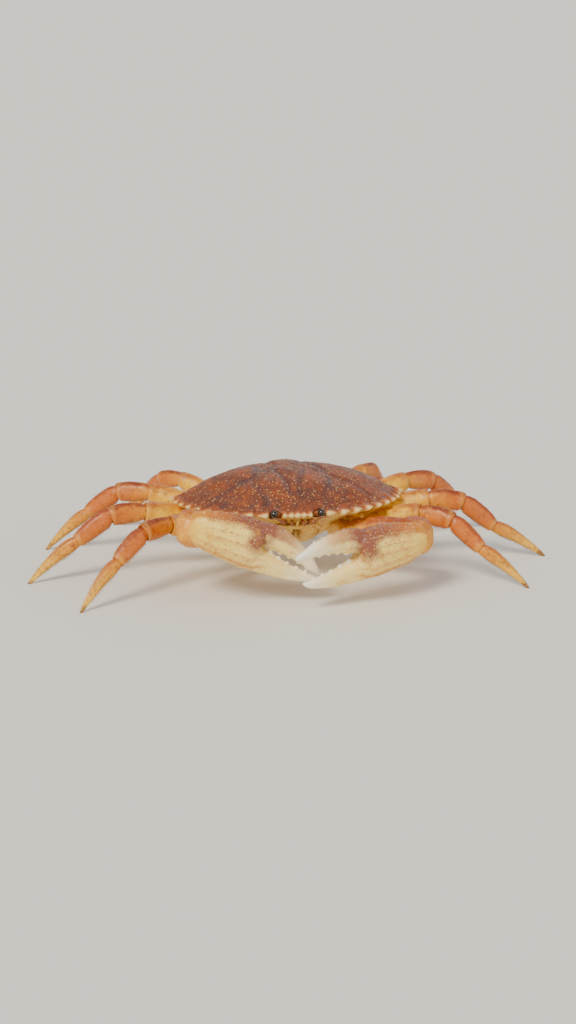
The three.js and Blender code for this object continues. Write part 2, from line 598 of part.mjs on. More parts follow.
for (const side of ["right", "left"]) {
  const hand = side === "left" ? 1 : -1;
  const claw = clawPieces(side);
  place(`claw_${side}_base`, segment(claw.base), CLAW_FINISH.base);
  sockets.push(segment({ ...claw.base, grow: GAP }));
  Object.entries(claw.pieces).forEach(([part, solid]) => {
    place(`claw_${side}_${part}`, solid, CLAW_FINISH[part]);
  });
  LEGS.forEach((leg, k) => {
    legSegments(leg, side).forEach(({ part, ...spec }) => {
      place(`leg_${side}_${k + 1}_${part}`, segment(spec), LEG_FINISH[part]);
      if (part === "base") sockets.push(segment({ ...spec, grow: GAP }));
    });
  });
  place(`eye_${side}`, eyeShape(hand, 0), "eye");
  place(`antenna_${side}`, antennaShape(hand, 0), "feeler");
  place(`mouth_plate_${side}`, mouthShape(hand, 0), "underside");
  const orbit = fromGeometry(new THREE.SphereGeometry(1, 12, 8), paired(hand, ORBIT), ORBIT_SIZE);
  sockets.push(orbit, eyeShape(hand, GAP), antennaShape(hand, GAP), mouthShape(hand, GAP));
}
place("tail_flap", tailShape(0), "underside");
sockets.push(tailShape(GAP));
place("carapace", largest(cut(carapaceBlank(), sockets)), "shell");
place("thorax", largest(cut(thoraxBlank(), sockets)), "underside");

// The origin is on the floor under the middle of the crab's whole spread
const box = new THREE.Box3().setFromObject(crab);
const centre = box.getCenter(new THREE.Vector3());
crab.position.set(-centre.x, -centre.y, -box.min.z);

export default crab;
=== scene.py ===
import math

import bpy
import bmesh
import numpy as np
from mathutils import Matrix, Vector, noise


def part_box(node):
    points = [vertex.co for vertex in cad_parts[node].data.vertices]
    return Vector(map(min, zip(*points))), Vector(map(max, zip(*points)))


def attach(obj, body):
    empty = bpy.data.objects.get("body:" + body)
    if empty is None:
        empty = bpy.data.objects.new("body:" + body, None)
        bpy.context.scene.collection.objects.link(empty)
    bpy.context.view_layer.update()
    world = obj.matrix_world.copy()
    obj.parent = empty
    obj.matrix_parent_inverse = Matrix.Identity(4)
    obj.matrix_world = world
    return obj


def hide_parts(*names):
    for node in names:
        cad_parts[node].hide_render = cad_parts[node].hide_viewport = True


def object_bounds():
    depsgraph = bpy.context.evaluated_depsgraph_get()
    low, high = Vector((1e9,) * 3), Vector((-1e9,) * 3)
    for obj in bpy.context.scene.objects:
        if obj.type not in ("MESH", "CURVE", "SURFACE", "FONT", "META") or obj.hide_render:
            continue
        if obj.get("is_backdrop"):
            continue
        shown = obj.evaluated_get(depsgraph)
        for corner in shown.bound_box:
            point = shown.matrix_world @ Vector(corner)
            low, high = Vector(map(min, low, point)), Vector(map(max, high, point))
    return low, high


bl_info = {
    "name": "Dungeness crab",
    "version": (1, 0, 0),
    "blender": (4, 5, 0),
    "location": "3D View > Sidebar > Crab",
    "description": "Builds the shell, claws, legs and bristles of a standing crab",
    "category": "Object",
}

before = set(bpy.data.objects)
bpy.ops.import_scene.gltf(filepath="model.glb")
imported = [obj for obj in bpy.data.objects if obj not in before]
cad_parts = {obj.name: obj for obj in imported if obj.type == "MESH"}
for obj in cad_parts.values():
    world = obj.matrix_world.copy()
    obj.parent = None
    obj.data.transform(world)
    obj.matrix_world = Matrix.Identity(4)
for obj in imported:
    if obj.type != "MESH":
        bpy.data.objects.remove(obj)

MM = 0.001

# Driving sizes, the same as the solids': the shell's edge above the floor, half its width, how far it
# reaches forward and back, the straight part of its rear, its height and its flanks' depth
MARGIN_HEIGHT = 52
HALF_WIDTH = 80
FRONT_REACH = 58
REAR_REACH = 47
REAR_CORNER = 34
DOME_HEIGHT = 22
FLANK_DEPTH = 12
TOOTH_REACH = 2.6
LAST_TOOTH_REACH = 4.6
TOOTH_PAIRS = 10
# How steeply the back and its swellings fall to the edge
DOME_FALL = 2.6
SWELLING_FALL = 5
# Gap between touching pieces
GAP = 0.3

UP = np.array([0.0, 0.0, 1.0])
ACROSS = np.array([1.0, 0.0, 0.0])
SIDES = {"right": -1, "left": 1}


def at(x, f, z):
    """A point of the body: x to the crab's left, f forward, z above the shell's edge."""
    return np.stack(np.broadcast_arrays(x, -np.asarray(f, float), MARGIN_HEIGHT + np.asarray(z)), -1)


def unit(vector):
    """Vectors of length one in the same directions."""
    vector = np.asarray(vector, float)
    return vector / np.linalg.norm(vector, axis=-1, keepdims=True)


def bell(distance, spread):
    """Smooth bump from 1 in the middle to 0 well outside its spread."""
    return np.exp(-(np.asarray(distance) / spread) ** 2)


def ease(value, low, high):
    """Smooth step from 0 at low to 1 at high."""
    share = np.clip((np.asarray(value, float) - low) / (high - low), 0, 1)
    return share * share * (3 - 2 * share)


def curve(stations, t, column=1):
    """Value at t on a smooth line through [t, value] stations, with no overshoot."""
    table = np.asarray(stations, float)
    xs, ys = table[:, 0], table[:, column]
    steps = np.diff(xs)
    slopes = np.diff(ys) / steps
    same = slopes[1:] * slopes[:-1] > 0
    inner = np.where(same, 2 * slopes[1:] * slopes[:-1] / np.where(same, slopes[1:] + slopes[:-1], 1), 0)
    tangents = np.concatenate([slopes[:1], inner, slopes[-1:]])
    t = np.clip(np.asarray(t, float), xs[0], xs[-1])
    k = np.clip(np.searchsorted(xs, t, side="right") - 1, 0, len(steps) - 1)
    u = (t - xs[k]) / steps[k]
    return ((2 * u**3 - 3 * u**2 + 1) * ys[k] + (u**3 - 2 * u**2 + u) * steps[k] * tangents[k]
            + (3 * u**2 - 2 * u**3) * ys[k + 1] + (u**3 - u**2) * steps[k] * tangents[k + 1])


def setting(group):
    """The add-on's values for sizes or colours."""
    return getattr(bpy.context.scene, group)


# Meshes

def skin(rings):
    """Points and faces of a closed skin through rings of points, with a fan over each end."""
    rings = np.asarray(rings, float)
    rows, count = rings.shape[:2]
    points = np.concatenate([rings.reshape(-1, 3), rings[:1].mean(axis=1), rings[-1:].mean(axis=1)])
    i = np.arange(count)
    j = (i + 1) % count
    row = np.arange(rows - 1)[:, None] * count
    quads = np.stack([row + i, row + j, row + j + count, row + i + count], -1).reshape(-1, 4)
    end = (rows - 1) * count
    first = np.stack([np.full(count, rows * count), j, i], -1)
    last = np.stack([np.full(count, rows * count + 1), end + i, end + j], -1)
    return points, [*quads.tolist(), *first.tolist(), *last.tolist()]


def together(*parts):
    """Several skins as one list of points and faces."""
    points = []
    faces = []
    count = 0
    for part_points, part_faces in parts:
        points.append(part_points)
        faces += [[k + count for k in face] for face in part_faces]
        count += len(part_points)
    return np.concatenate(points), faces


def frame_offset():
    """How far the frame's origin lies from the body's own, in millimetres."""
    low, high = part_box("carapace")
    front = at(0, FRONT_TIP, 0)[1]
    return np.array([(low[0] + high[0]) / 2 / MM, low[1] / MM - front, 0])


def bare_mesh(name, points, faces):
    """A mesh of points in the crab's own millimetres, with its faces outwards."""
    mesh = bpy.data.meshes.new(name)
    mesh.from_pydata(((points + frame_offset()) * MM).tolist(), [], faces)
    shape = bmesh.new()
    shape.from_mesh(mesh)
    bmesh.ops.recalc_face_normals(shape, faces=shape.faces)
    shape.to_mesh(mesh)
    shape.free()
    return mesh


def mesh_points(mesh):
    """A mesh's points and normals, the points in the crab's own millimetres."""
    points = np.empty(len(mesh.vertices) * 3)
    mesh.vertices.foreach_get("co", points)
    normals = np.empty(len(mesh.vertices) * 3)
    mesh.vertices.foreach_get("normal", normals)
    return points.reshape(-1, 3) / MM - frame_offset(), normals.reshape(-1, 3)


def roughened(mesh, *layers):
    """Moves a mesh's points along their normals by layers of soft noise, each a depth, a size and a
    seed, and keeps them above the floor."""
    points, normals = mesh_points(mesh)
    for depth, size, seed in layers:
        shift = [noise.noise((x + seed, y - seed, z)) for x, y, z in (points / size).tolist()]
        points = points + normals * (depth * np.array(shift))[:, None]
    points[:, 2] = np.maximum(points[:, 2], 0)
    mesh.vertices.foreach_set("co", ((points + frame_offset()) * MM).ravel())
    mesh.update()
    return mesh


def worked(mesh, *modifiers):
    """The mesh after modifiers, each given as its type and settings."""
    thing = bpy.data.objects.new("worked", mesh)
    bpy.context.collection.objects.link(thing)
    for kind, settings in modifiers:
        modifier = thing.modifiers.new(kind.title(), kind)
        for key, value in settings.items():
            setattr(modifier, key, value)
    graph = bpy.context.evaluated_depsgraph_get()
    result = bpy.data.meshes.new_from_object(thing.evaluated_get(graph))
    bpy.data.objects.remove(thing)
    return result


def fused(name, parts, voxel, rounds=3):
    """One skin round overlapping shells, evened out where they meet."""
    return worked(bare_mesh(name, *together(*parts)),
                  ("REMESH", {"mode": "VOXEL", "voxel_size": voxel * MM}),
                  ("SMOOTH", {"factor": 0.5, "iterations": rounds}))


def finish_piece(mesh, name, material, nodes=(), marks=None):
    """Makes a piece of a mesh: its marks for the finish, its material and the node it stands for."""
    for mark, values in (marks or {}).items():
        attribute = mesh.attributes.new(mark, "FLOAT", "POINT")
        attribute.data.foreach_set("value", np.broadcast_to(values, len(mesh.vertices)).astype(np.float32))
    mesh.name = name
    mesh.shade_smooth()
    piece = bpy.data.objects.new(name, mesh)
    bpy.context.collection.objects.link(piece)
    mesh.materials.clear()
    mesh.materials.append(material)
    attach(piece, "root")
    if nodes:
        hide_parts(*nodes)
    return piece


# Nodes

# Sockets of a colour Mix node: share, colour below, colour above, and the output
SHARE, BELOW, ABOVE, BLEND = 0, 6, 7, 2


def feed(tree, node, inputs):
    """Links each input that is given as a socket, and sets each other one to its value."""
    for name, value in inputs.items():
        if isinstance(value, bpy.types.NodeSocket):
            tree.links.new(value, node.inputs[name])
        else:
            node.inputs[name].default_value = value


def add(tree, kind, inputs=None, out=0, stops=(), **settings):
    """Adds a node with its settings and inputs and gives one of its outputs, or the node itself where
    it has none. stops are the [share, hex colour] marks of a colour ramp, in order."""
    node = tree.nodes.new(kind)
    for name, value in settings.items():
        setattr(node, name, value)
    feed(tree, node, inputs or {})
    # A new ramp already has its two end marks
    for k, (share, code) in enumerate([*stops[:1], *stops[-1:], *stops[1:-1]]):
        element = node.color_ramp.elements[k] if k < 2 else node.color_ramp.elements.new(share)
        element.position = share
        element.color = linear(code)
    return node.outputs[out] if node.outputs else node


def linear(code):
    """Linear colour of an sRGB hex value."""
    channels = [int(code[k:k + 2], 16) / 255 for k in (1, 3, 5)]
    return [c / 12.92 if c <= 0.04045 else ((c + 0.055) / 1.055) ** 2.4 for c in channels] + [1.0]


# Repeated small parts

# Width of a bristle's patch in its map, the empty edge of a map's tile, and how deep a root sits
PATCH_WIDTH = 0.003
TILE_EDGE = 0.02
ROOT_DEPTH = 0.2


def node_tree(name, sockets):
    """An empty Geometry Nodes tree with named inputs, and the sockets that give their values."""
    tree = bpy.data.node_groups.new(name, "GeometryNodeTree")
    for label, kind in {"Geometry": "NodeSocketGeometry", **sockets}.items():
        tree.interface.new_socket(label, in_out="INPUT", socket_type=kind)
    tree.interface.new_socket("Geometry", in_out="OUTPUT", socket_type="NodeSocketGeometry")
    return tree, add(tree, "NodeGroupInput").node.outputs


def close_tree(tree, points, shape, given, size, rotation=None, removed=()):
    """Sets a shape out on points, makes it real, drops the growth marks and sets its material."""
    inputs = {"Points": points, "Instance": shape, "Scale": size}
    if rotation:
        inputs["Rotation"] = rotation
    mesh = add(tree, "GeometryNodeRealizeInstances", {0: add(tree, "GeometryNodeInstanceOnPoints", inputs)})
    if "patch" in removed:
        # Each bristle takes a small patch at its root's place on the unwrapped skin
        patch, root = [add(tree, "GeometryNodeInputNamedAttribute", {"Name": name}, data_type="FLOAT_VECTOR")
                       for name in ("patch", "root_place")]
        corner = add(tree, "ShaderNodeVectorMath", {0: patch, 1: (PATCH_WIDTH,) * 3, 2: root},
                     operation="MULTIPLY_ADD")
        mesh = add(tree, "GeometryNodeStoreNamedAttribute", {
            "Geometry": mesh, "Name": "OFBake", "Value": corner}, data_type="FLOAT2", domain="CORNER")
    for name in removed:
        mesh = add(tree, "GeometryNodeRemoveAttribute", {"Geometry": mesh, "Name": name})
    mesh = add(tree, "GeometryNodeSetMaterial", {"Geometry": mesh, "Material": given["Material"]})
    add(tree, "NodeGroupOutput", {"Geometry": mesh})
    return tree


def bristle_tree():
    """Bristles over a surface, thick where its mark "thick" is high and leaning along its mark "lie"."""
    tree, given = node_tree("Bristles", {
        "Density": "NodeSocketFloat", "Length": "NodeSocketFloat", "Width": "NodeSocketFloat",
        "Lean": "NodeSocketFloat", "Seed": "NodeSocketInt", "Material": "NodeSocketMaterial"})
    thick = add(tree, "GeometryNodeInputNamedAttribute", {"Name": "thick"}, data_type="FLOAT")
    density = add(tree, "ShaderNodeMath", {0: given["Density"], 1: thick}, operation="MULTIPLY")
    points = add(tree, "GeometryNodeDistributePointsOnFaces", {
        "Mesh": given["Geometry"], "Density": density, "Seed": given["Seed"]}, distribute_method="RANDOM")
    stray = add(tree, "FunctionNodeRandomValue", {0: (-0.3, -0.3, -0.3), 1: (0.3, 0.3, 0.3), "Seed": 2},
                data_type="FLOAT_VECTOR")
    lie = add(tree, "GeometryNodeInputNamedAttribute", {"Name": "lie"}, data_type="FLOAT_VECTOR")
    lean = add(tree, "ShaderNodeVectorMath", {0: lie, "Scale": given["Lean"]}, operation="SCALE")
    aim = add(tree, "ShaderNodeVectorMath", {0: points.node.outputs["Normal"], 1: lean})
    aim = add(tree, "ShaderNodeVectorMath", {0: aim, 1: stray})
    turn = add(tree, "FunctionNodeAlignRotationToVector", {"Vector": aim}, axis="Z")
    # A bristle is a thin three-sided spike that bends over as it narrows
    spike = add(tree, "GeometryNodeMeshCone", {
        "Vertices": 3, "Side Segments": 3, "Radius Top": 0.0, "Radius Bottom": given["Width"],
        "Depth": given["Length"]}, fill_type="NGON")
    along = add(tree, "ShaderNodeSeparateXYZ", {0: add(tree, "GeometryNodeInputPosition")}, "Z")
    bend = add(tree, "ShaderNodeMath", {0: along, 1: along}, operation="MULTIPLY")
    bend = add(tree, "ShaderNodeMath", {0: bend, 1: given["Length"]}, operation="DIVIDE")
    aside = add(tree, "ShaderNodeCombineXYZ", {"X": bend, "Z": -ROOT_DEPTH * MM})
    bent = add(tree, "GeometryNodeSetPosition", {"Geometry": spike, "Offset": aside})
    bent = add(tree, "GeometryNodeStoreNamedAttribute", {
        "Geometry": bent, "Name": "patch", "Value": spike.node.outputs["UV Map"]}, data_type="FLOAT2",
        domain="CORNER")
    size = add(tree, "FunctionNodeRandomValue", {2: 0.55, 3: 1.15, "Seed": 4}, 1)
    return close_tree(tree, points, bent, given, size, turn, ("patch", "root_place", "thick", "lie"))


def bead_row_tree():
    """Small round beads in rows along the edges of a line mesh."""
    tree, given = node_tree("Bead rows", {
        "Spacing": "NodeSocketFloat", "Radius": "NodeSocketFloat", "Stray": "NodeSocketFloat",
        "Material": "NodeSocketMaterial"})
    line = add(tree, "GeometryNodeMeshToCurve", {"Mesh": given["Geometry"]})
    steps = add(tree, "GeometryNodeResampleCurve", {"Curve": line, "Length": given["Spacing"]}, mode="LENGTH")
    aside = add(tree, "FunctionNodeRandomValue", {0: (-1, -1, -1), 1: (1, 1, 1), "Seed": 8},
                data_type="FLOAT_VECTOR")
    aside = add(tree, "ShaderNodeVectorMath", {0: aside, "Scale": given["Stray"]}, operation="SCALE")
    steps = add(tree, "GeometryNodeSetPosition", {"Geometry": steps, "Offset": aside})
    bead = add(tree, "GeometryNodeMeshUVSphere", {"Segments": 8, "Rings": 5, "Radius": given["Radius"]})
    size = add(tree, "FunctionNodeRandomValue", {2: 0.5, 3: 1.2, "Seed": 5}, 1)
    return close_tree(tree, steps, bead, given, size)


def granule_tree():
    """Low rounded granules spread evenly over a surface where its mark "thick" is high."""
    tree, given = node_tree("Granules", {
        "Spacing": "NodeSocketFloat", "Density": "NodeSocketFloat", "Radius": "NodeSocketFloat",
        "Seed": "NodeSocketInt", "Material": "NodeSocketMaterial"})
    thick = add(tree, "GeometryNodeInputNamedAttribute", {"Name": "thick"}, data_type="FLOAT")
    points = add(tree, "GeometryNodeDistributePointsOnFaces", {
        "Mesh": given["Geometry"], "Distance Min": given["Spacing"], "Density Max": given["Density"],
        "Density Factor": thick, "Seed": given["Seed"]}, distribute_method="POISSON")
    bead = add(tree, "GeometryNodeMeshUVSphere", {"Segments": 7, "Rings": 4, "Radius": given["Radius"]})
    flat = add(tree, "GeometryNodeTransform", {"Geometry": bead, "Scale": (1.0, 1.0, 0.55)})
    size = add(tree, "FunctionNodeRandomValue", {2: 0.5, 3: 1.25, "Seed": 6}, 1)
    return close_tree(tree, points, flat, given, size, points.node.outputs["Rotation"],
                      ("root_place", "thick", "lie"))


def grown(name, mesh, tree, values):
    """The plain mesh that a Geometry Nodes tree makes of a mesh, with its named inputs set."""
    thing = bpy.data.objects.new(name, mesh)
    bpy.context.collection.objects.link(thing)
    modifier = thing.modifiers.new(name, "NODES")
    modifier.node_group = tree
    sockets = {item.name: item.identifier for item in tree.interface.items_tree if item.in_out == "INPUT"}
    for label, value in values.items():
        modifier[sockets[label]] = value
    graph = bpy.context.evaluated_depsgraph_get()
    result = bpy.data.meshes.new_from_object(thing.evaluated_get(graph))
    thing.modifiers.remove(modifier)
    bpy.data.objects.remove(thing)
    return result


def unwrapped(rows, count, tile, tiles):
    """Corner places of skin()'s faces laid out flat, in one tile of a square of tiles."""
    wide = math.ceil(math.sqrt(tiles))
    row, i = np.meshgrid(np.arange(rows - 1), np.arange(count), indexing="ij")
    quads = np.stack([[i, row], [i + 1, row], [i + 1, row + 1], [i, row + 1]]).transpose(2, 3, 0, 1)
    i = np.arange(count)
    middle, here, after = [np.stack([k, 0 * i], -1) for k in (0 * i + count / 2, i, i + 1)]
    first = np.stack([middle, after, here], 1).reshape(-1, 2)
    last = np.stack([middle, here, after], 1).reshape(-1, 2) + [0, rows - 1]
    flat = np.concatenate([quads.reshape(-1, 2), first, last]) / [count, rows - 1]
    return (TILE_EDGE + (1 - 2 * TILE_EDGE) * flat + [tile % wide, tile // wide]) / wide


def growth_mesh(parts):
    """A skin to grow bristles or granules on. Each part is its points, faces, row length and a
    function that gives the marks "thick" and "lie" from its points and normals."""
    mesh = bare_mesh("growth", *together(*[part[:2] for part in parts]))
    here, normals = mesh_points(mesh)
    thick = np.zeros(len(here))
    lie = np.zeros((len(here), 3))
    corners = []
    start = 0
    for tile, (points, _, count, marks_of) in enumerate(parts):
        span = slice(start, start + len(points))
        thick[span], lie[span] = marks_of(here[span], normals[span])
        corners.append(unwrapped((len(points) - 2) // count, count, tile, len(parts)))
        start += len(points)
    marks = {"thick": ("FLOAT", "POINT", "value", thick), "lie": ("FLOAT_VECTOR", "POINT", "vector", lie),
             "root_place": ("FLOAT2", "CORNER", "vector", np.concatenate(corners))}
    for name, (kind, domain, key, values) in marks.items():
        attribute = mesh.attributes.new(name, kind, domain)
        attribute.data.foreach_set(key, values.astype(np.float32).ravel())
    return mesh


def line_mesh(lines):
    """Lines of points as a mesh of edges alone."""
    points = np.concatenate(lines)
    edges = []
    start = 0
    for line in lines:
        edges += [[start + k, start + k + 1] for k in range(len(line) - 1)]
        start += len(line)
    mesh = bpy.data.meshes.new("lines")
    mesh.from_pydata(((points + frame_offset()) * MM).tolist(), edges, [])
    return mesh


# Materials

CHITIN_IOR = 1.52


def new_material(name):
    """An empty material and its tree, its main shader and the place on the crab in metres."""
    material = bpy.data.materials.new(name)
    material.use_nodes = True
    tree = material.node_tree
    tree.nodes.clear()
    surface = add(tree, "ShaderNodeBsdfPrincipled")
    add(tree, "ShaderNodeOutputMaterial", {"Surface": surface})
    return material, tree, surface.node, add(tree, "ShaderNodeTexCoord", out="Object")


def painted(tree, colour, *layers):
    """A colour with others laid over it, each given as its share and its colour."""
    for share, over in layers:
        colour = add(tree, "ShaderNodeMix", {SHARE: share, BELOW: colour, ABOVE: over}, BLEND,
                     data_type="RGBA")
    return colour


def marked(tree, name, low=0.0, high=1.0, least=0.0, most=1.0, shift=None):
    """How strongly one of the piece's marks shows between two of its values."""
    value = add(tree, "ShaderNodeAttribute", out="Fac", attribute_name=name)
    if shift is not None:
        value = add(tree, "ShaderNodeMath", {0: value, 1: shift})
    return add(tree, "ShaderNodeMapRange", {
        "Value": value, "From Min": low, "From Max": high, "To Min": least, "To Max": most})


def mottle(tree, place, size, low, high, seed=0.0, least=0.0, most=1.0):
    """Patchy value with blotches of a size in millimetres."""
    blotches = add(tree, "ShaderNodeTexNoise", {
        "Vector": place, "W": seed, "Scale": 1 / (size * MM), "Detail": 5.0, "Roughness": 0.6},
        noise_dimensions="4D")
    return add(tree, "ShaderNodeMapRange", {
        "Value": blotches, "From Min": low, "From Max": high, "To Min": least, "To Max": most})


def dots(tree, place, spacing, share, low=0.14, high=0.26):
    """Small round dots scattered at a spacing in millimetres."""
    cells = add(tree, "ShaderNodeTexVoronoi", {"Vector": place, "Scale": 1 / (spacing * MM)})
    return add(tree, "ShaderNodeMapRange", {
        "Value": cells, "From Min": low, "From Max": high, "To Min": share, "To Max": 0.0})


def shell_finish(name, colour_of, grain, grain_depth, sheen=0.12):
    """Hard chitin, wet and a little translucent, with a pimpled skin.

    colour_of gets the tree and the place and returns the colour socket. grain is the width of a
    pimple in millimetres."""
    material, tree, shader, place = new_material(name)
    pimples = add(tree, "ShaderNodeTexVoronoi", {
        "Vector": place, "Scale": 1 / (grain * MM), "Randomness": 0.9}, feature="SMOOTH_F1")
    waves = add(tree, "ShaderNodeTexNoise", {
        "Vector": place, "Scale": 1 / (5 * MM), "Detail": 4.0, "Roughness": 0.55})
    fine = add(tree, "ShaderNodeBump", {
        "Height": pimples, "Strength": 0.45, "Distance": grain_depth * MM}, invert=True)
    soft = add(tree, "ShaderNodeBump", {
        "Height": waves, "Strength": 0.35, "Distance": 0.5 * MM, "Normal": fine})
    feed(tree, shader, {
        "Normal": soft, "Base Color": colour_of(tree, place), "IOR": CHITIN_IOR,
        "Roughness": mottle(tree, place, 9, 0.35, 0.65, 1.0, 0.4, 0.6),
        "Coat Weight": sheen, "Coat Roughness": 0.22, "Subsurface Weight": 0.08,
        "Subsurface Radius": (1.6 * MM, 0.8 * MM, 0.4 * MM), "Subsurface Scale": 1.0})
    return material


def back_shell_colour(tree, place):
    """Brown-orange back shell, with purple-brown painted shade in its grooves, cream along its teeth, with
    pale speckles.
    """
    paint = setting("crab_colours")
    belly = painted(tree, list(paint.belly), (mottle(tree, place, 6, 0.45, 0.7, 5.0), linear("#D9904A")))
    return painted(
        tree, list(paint.shell),
        (mottle(tree, place, 14, 0.4, 0.62, 0.0, 0.0, 0.85), list(paint.shell_dark)),
        (mottle(tree, place, 5, 0.5, 0.72, 3.0), linear("#A44602")),
        # Painted shade: the grooves are darkened purple-brown
        (marked(tree, "groove", 0.1, 0.9, 0.0, 0.65), linear("#47262A")),
        (dots(tree, place, 2.6, 0.75), linear("#DDAA62")),
        (dots(tree, place, 1.3, 0.35, 0.12, 0.28), linear("#E2BC78")),
        (marked(tree, "rim", 0.0, 0.6, 0.0, 0.9), linear("#C06A1E")),
        (marked(tree, "rim", 0.6, 1.0), linear("#F4D88E")),
        (marked(tree, "under"), belly))


def belly_colour(tree, place):
    """Cream underside with orange stains and tiny brown specks."""
    paint = setting("crab_colours")
    return painted(
        tree, list(paint.belly),
        (mottle(tree, place, 8, 0.42, 0.7, 0.0, 0.0, 0.8), linear("#DD8A2C")),
        (mottle(tree, place, 3, 0.58, 0.7, 7.0), linear("#F6E2A8")),
        (dots(tree, place, 2.2, 0.45, 0.08, 0.15), linear("#8A4A20")))


def leg_colour(tree, place):
    """Leg from cream at the body through yellow to orange, browner on top, with streaks near its tip."""
    paint = setting("crab_colours")
    wander = mottle(tree, place, 7, 0.3, 0.7, 9.0, -0.03, 0.03)
    reach = marked(tree, "reach", 0.0, 1.0, 0.0, 1.0, wander)
    lower = add(tree, "ShaderNodeValToRGB", {"Fac": reach}, stops=[
        [0.0, "#F2CF6C"], [0.12, "#FAC814"], [0.36, "#F8BE04"], [0.44, "#DE8800"], [0.56, "#C86400"],
        [0.72, "#CC6A00"], [0.84, "#E49C0C"], [0.96, "#F4C03C"], [1.0, "#4E2A12"]])
    upper = add(tree, "ShaderNodeValToRGB", {"Fac": reach}, stops=[
        [0.0, "#D49420"], [0.12, "#E6A208"], [0.3, "#E49A00"], [0.4, "#B05400"], [0.48, "#7E2C00"],
        [0.6, "#963A00"], [0.74, "#AE4C00"], [0.86, "#CE8004"], [0.96, "#E8AE30"], [1.0, "#3E2010"]])
    edge = marked(tree, "under", 0.25, 0.75, 0.0, 1.0, mottle(tree, place, 7, 0.3, 0.7, 2.0, -0.25, 0.25))
    # Brown streaks run down the last segment
    streaks = add(tree, "ShaderNodeMath", {
        0: mottle(tree, place, 2.2, 0.48, 0.62, 6.0),
        1: marked(tree, "reach", 0.76, 0.84, 0.0, 0.5)}, operation="MULTIPLY")
    return painted(
        tree, upper,
        (edge, lower),
        (mottle(tree, place, 4, 0.52, 0.72, 2.0, 0.0, 0.8), list(paint.leg_stain)),
        (streaks, linear("#843A10")),
        (dots(tree, place, 1.7, 0.4, 0.12, 0.24), linear("#F6CC74")),
        (marked(tree, "rim"), linear("#F0B448")))


def claw_colour(tree, place):
    """Claw from mottled orange-brown at the arm to a cream-yellow hand, mauve-brown along its top and
    round the hinge, with a tan lower ridge and white finger tips. On the left hand the mauve-brown
    reaches further down, as painted shade."""
    paint = setting("crab_colours")
    reach = marked(tree, "reach", 0.0, 1.0, 0.0, 1.0, mottle(tree, place, 9, 0.3, 0.7, 1.0, -0.02, 0.02))
    edge = marked(tree, "under", 0.2, 0.8, 0.0, 1.0, mottle(tree, place, 9, 0.3, 0.7, 3.0, -0.3, 0.3))
    lower = add(tree, "ShaderNodeValToRGB", {"Fac": reach}, stops=[
        [0.0, "#F0CC78"], [0.2, "#EEA61C"], [0.3, "#DC820A"], [0.45, "#DE8A0C"], [0.5, "#F6B62A"],
        [0.55, "#FFD65A"], [0.7, "#FFDC74"], [0.86, "#FFE08C"], [0.96, "#FFF2D4"], [1.0, "#FFFAF0"]])
    upper = add(tree, "ShaderNodeValToRGB", {"Fac": reach}, stops=[
        [0.0, "#D08C2C"], [0.2, "#AE5204"], [0.3, "#9C4202"], [0.45, "#A44A02"], [0.5, "#D68A08"],
        [0.57, "#C87214"], [0.68, "#8E4C32"], [0.8, "#8C4C36"], [0.89, "#DCA868"], [0.95, "#FFE8C4"],
        [1.0, "#FFF6E6"]])
    return painted(
        tree, upper,
        (edge, lower),
        (marked(tree, "stripe", 0.0, 1.0, 0.0, 0.75), linear("#D0761C")),
        (mottle(tree, place, 6, 0.54, 0.72, 4.0, 0.0, 0.8), list(paint.claw_stain)),
        (mottle(tree, place, 1.8, 0.6, 0.72, 8.0, 0.0, 0.55), linear("#B4641E")),
        (marked(tree, "reach", 0.88, 0.95), lower),
        (dots(tree, place, 2.2, 0.45, 0.12, 0.26), linear("#FFEEBC")),
        (marked(tree, "rim", 0.1, 1.0, 0.0, 0.9), linear("#FFF2D6")))


def membrane_finish():
    """Soft joint skin, leathery and wrinkled, which shows as pale bands between the plates."""
    material, tree, shader, place = new_material("Joint membrane")
    folds = add(tree, "ShaderNodeTexNoise", {"Vector": place, "Scale": 1 / (1.2 * MM), "Detail": 4.0})
    creases = mottle(tree, place, 1.2, 0.35, 0.7)
    feed(tree, shader, {
        "Normal": add(tree, "ShaderNodeBump", {"Height": folds, "Strength": 0.6, "Distance": 0.4 * MM}),
        "Base Color": painted(tree, linear("#8E4A1A"), (creases, linear("#D98E3E"))),
        "Roughness": 0.42, "Subsurface Weight": 0.3, "Subsurface Radius": (2 * MM, MM, 0.6 * MM),
        "Subsurface Scale": 1.0})
    return material


def eye_finish():
    """Cornea of many tiny lenses, near black and glossy when wet."""
    material, tree, shader, place = new_material("Eye cornea")
    lenses = add(tree, "ShaderNodeTexVoronoi", {"Vector": place, "Scale": 1 / (0.25 * MM)})
    bump = add(tree, "ShaderNodeBump", {
        "Height": lenses, "Strength": 0.25, "Distance": 0.05 * MM}, invert=True)
    clouds = mottle(tree, place, 1.5, 0.4, 0.7)
    feed(tree, shader, {
        "Normal": bump, "Roughness": 0.12, "Coat Weight": 0.8, "Coat Roughness": 0.05,
        "Base Color": painted(tree, linear("#120D0A"), (clouds, linear("#2C1C14")))})
    return material


def feeler_finish():
    """Thin jointed chitin, red-brown with slightly paler rings 1 mm apart."""
    material, tree, shader, place = new_material("Feeler chitin")
    rings = add(tree, "ShaderNodeTexWave", {
        "Vector": place, "Scale": 1 / (3.2 * MM), "Distortion": 1.0}, "Fac", bands_direction="DIAGONAL")
    share = add(tree, "ShaderNodeMath", {0: rings, 1: 0.4}, operation="MULTIPLY")
    feed(tree, shader, {
        "Normal": add(tree, "ShaderNodeBump", {"Height": rings, "Strength": 0.3, "Distance": 0.1 * MM}),
        "Base Color": painted(tree, linear("#8E4E28"), (share, linear("#C08450"))),
        "Roughness": 0.45, "Coat Weight": 0.3})
    return material


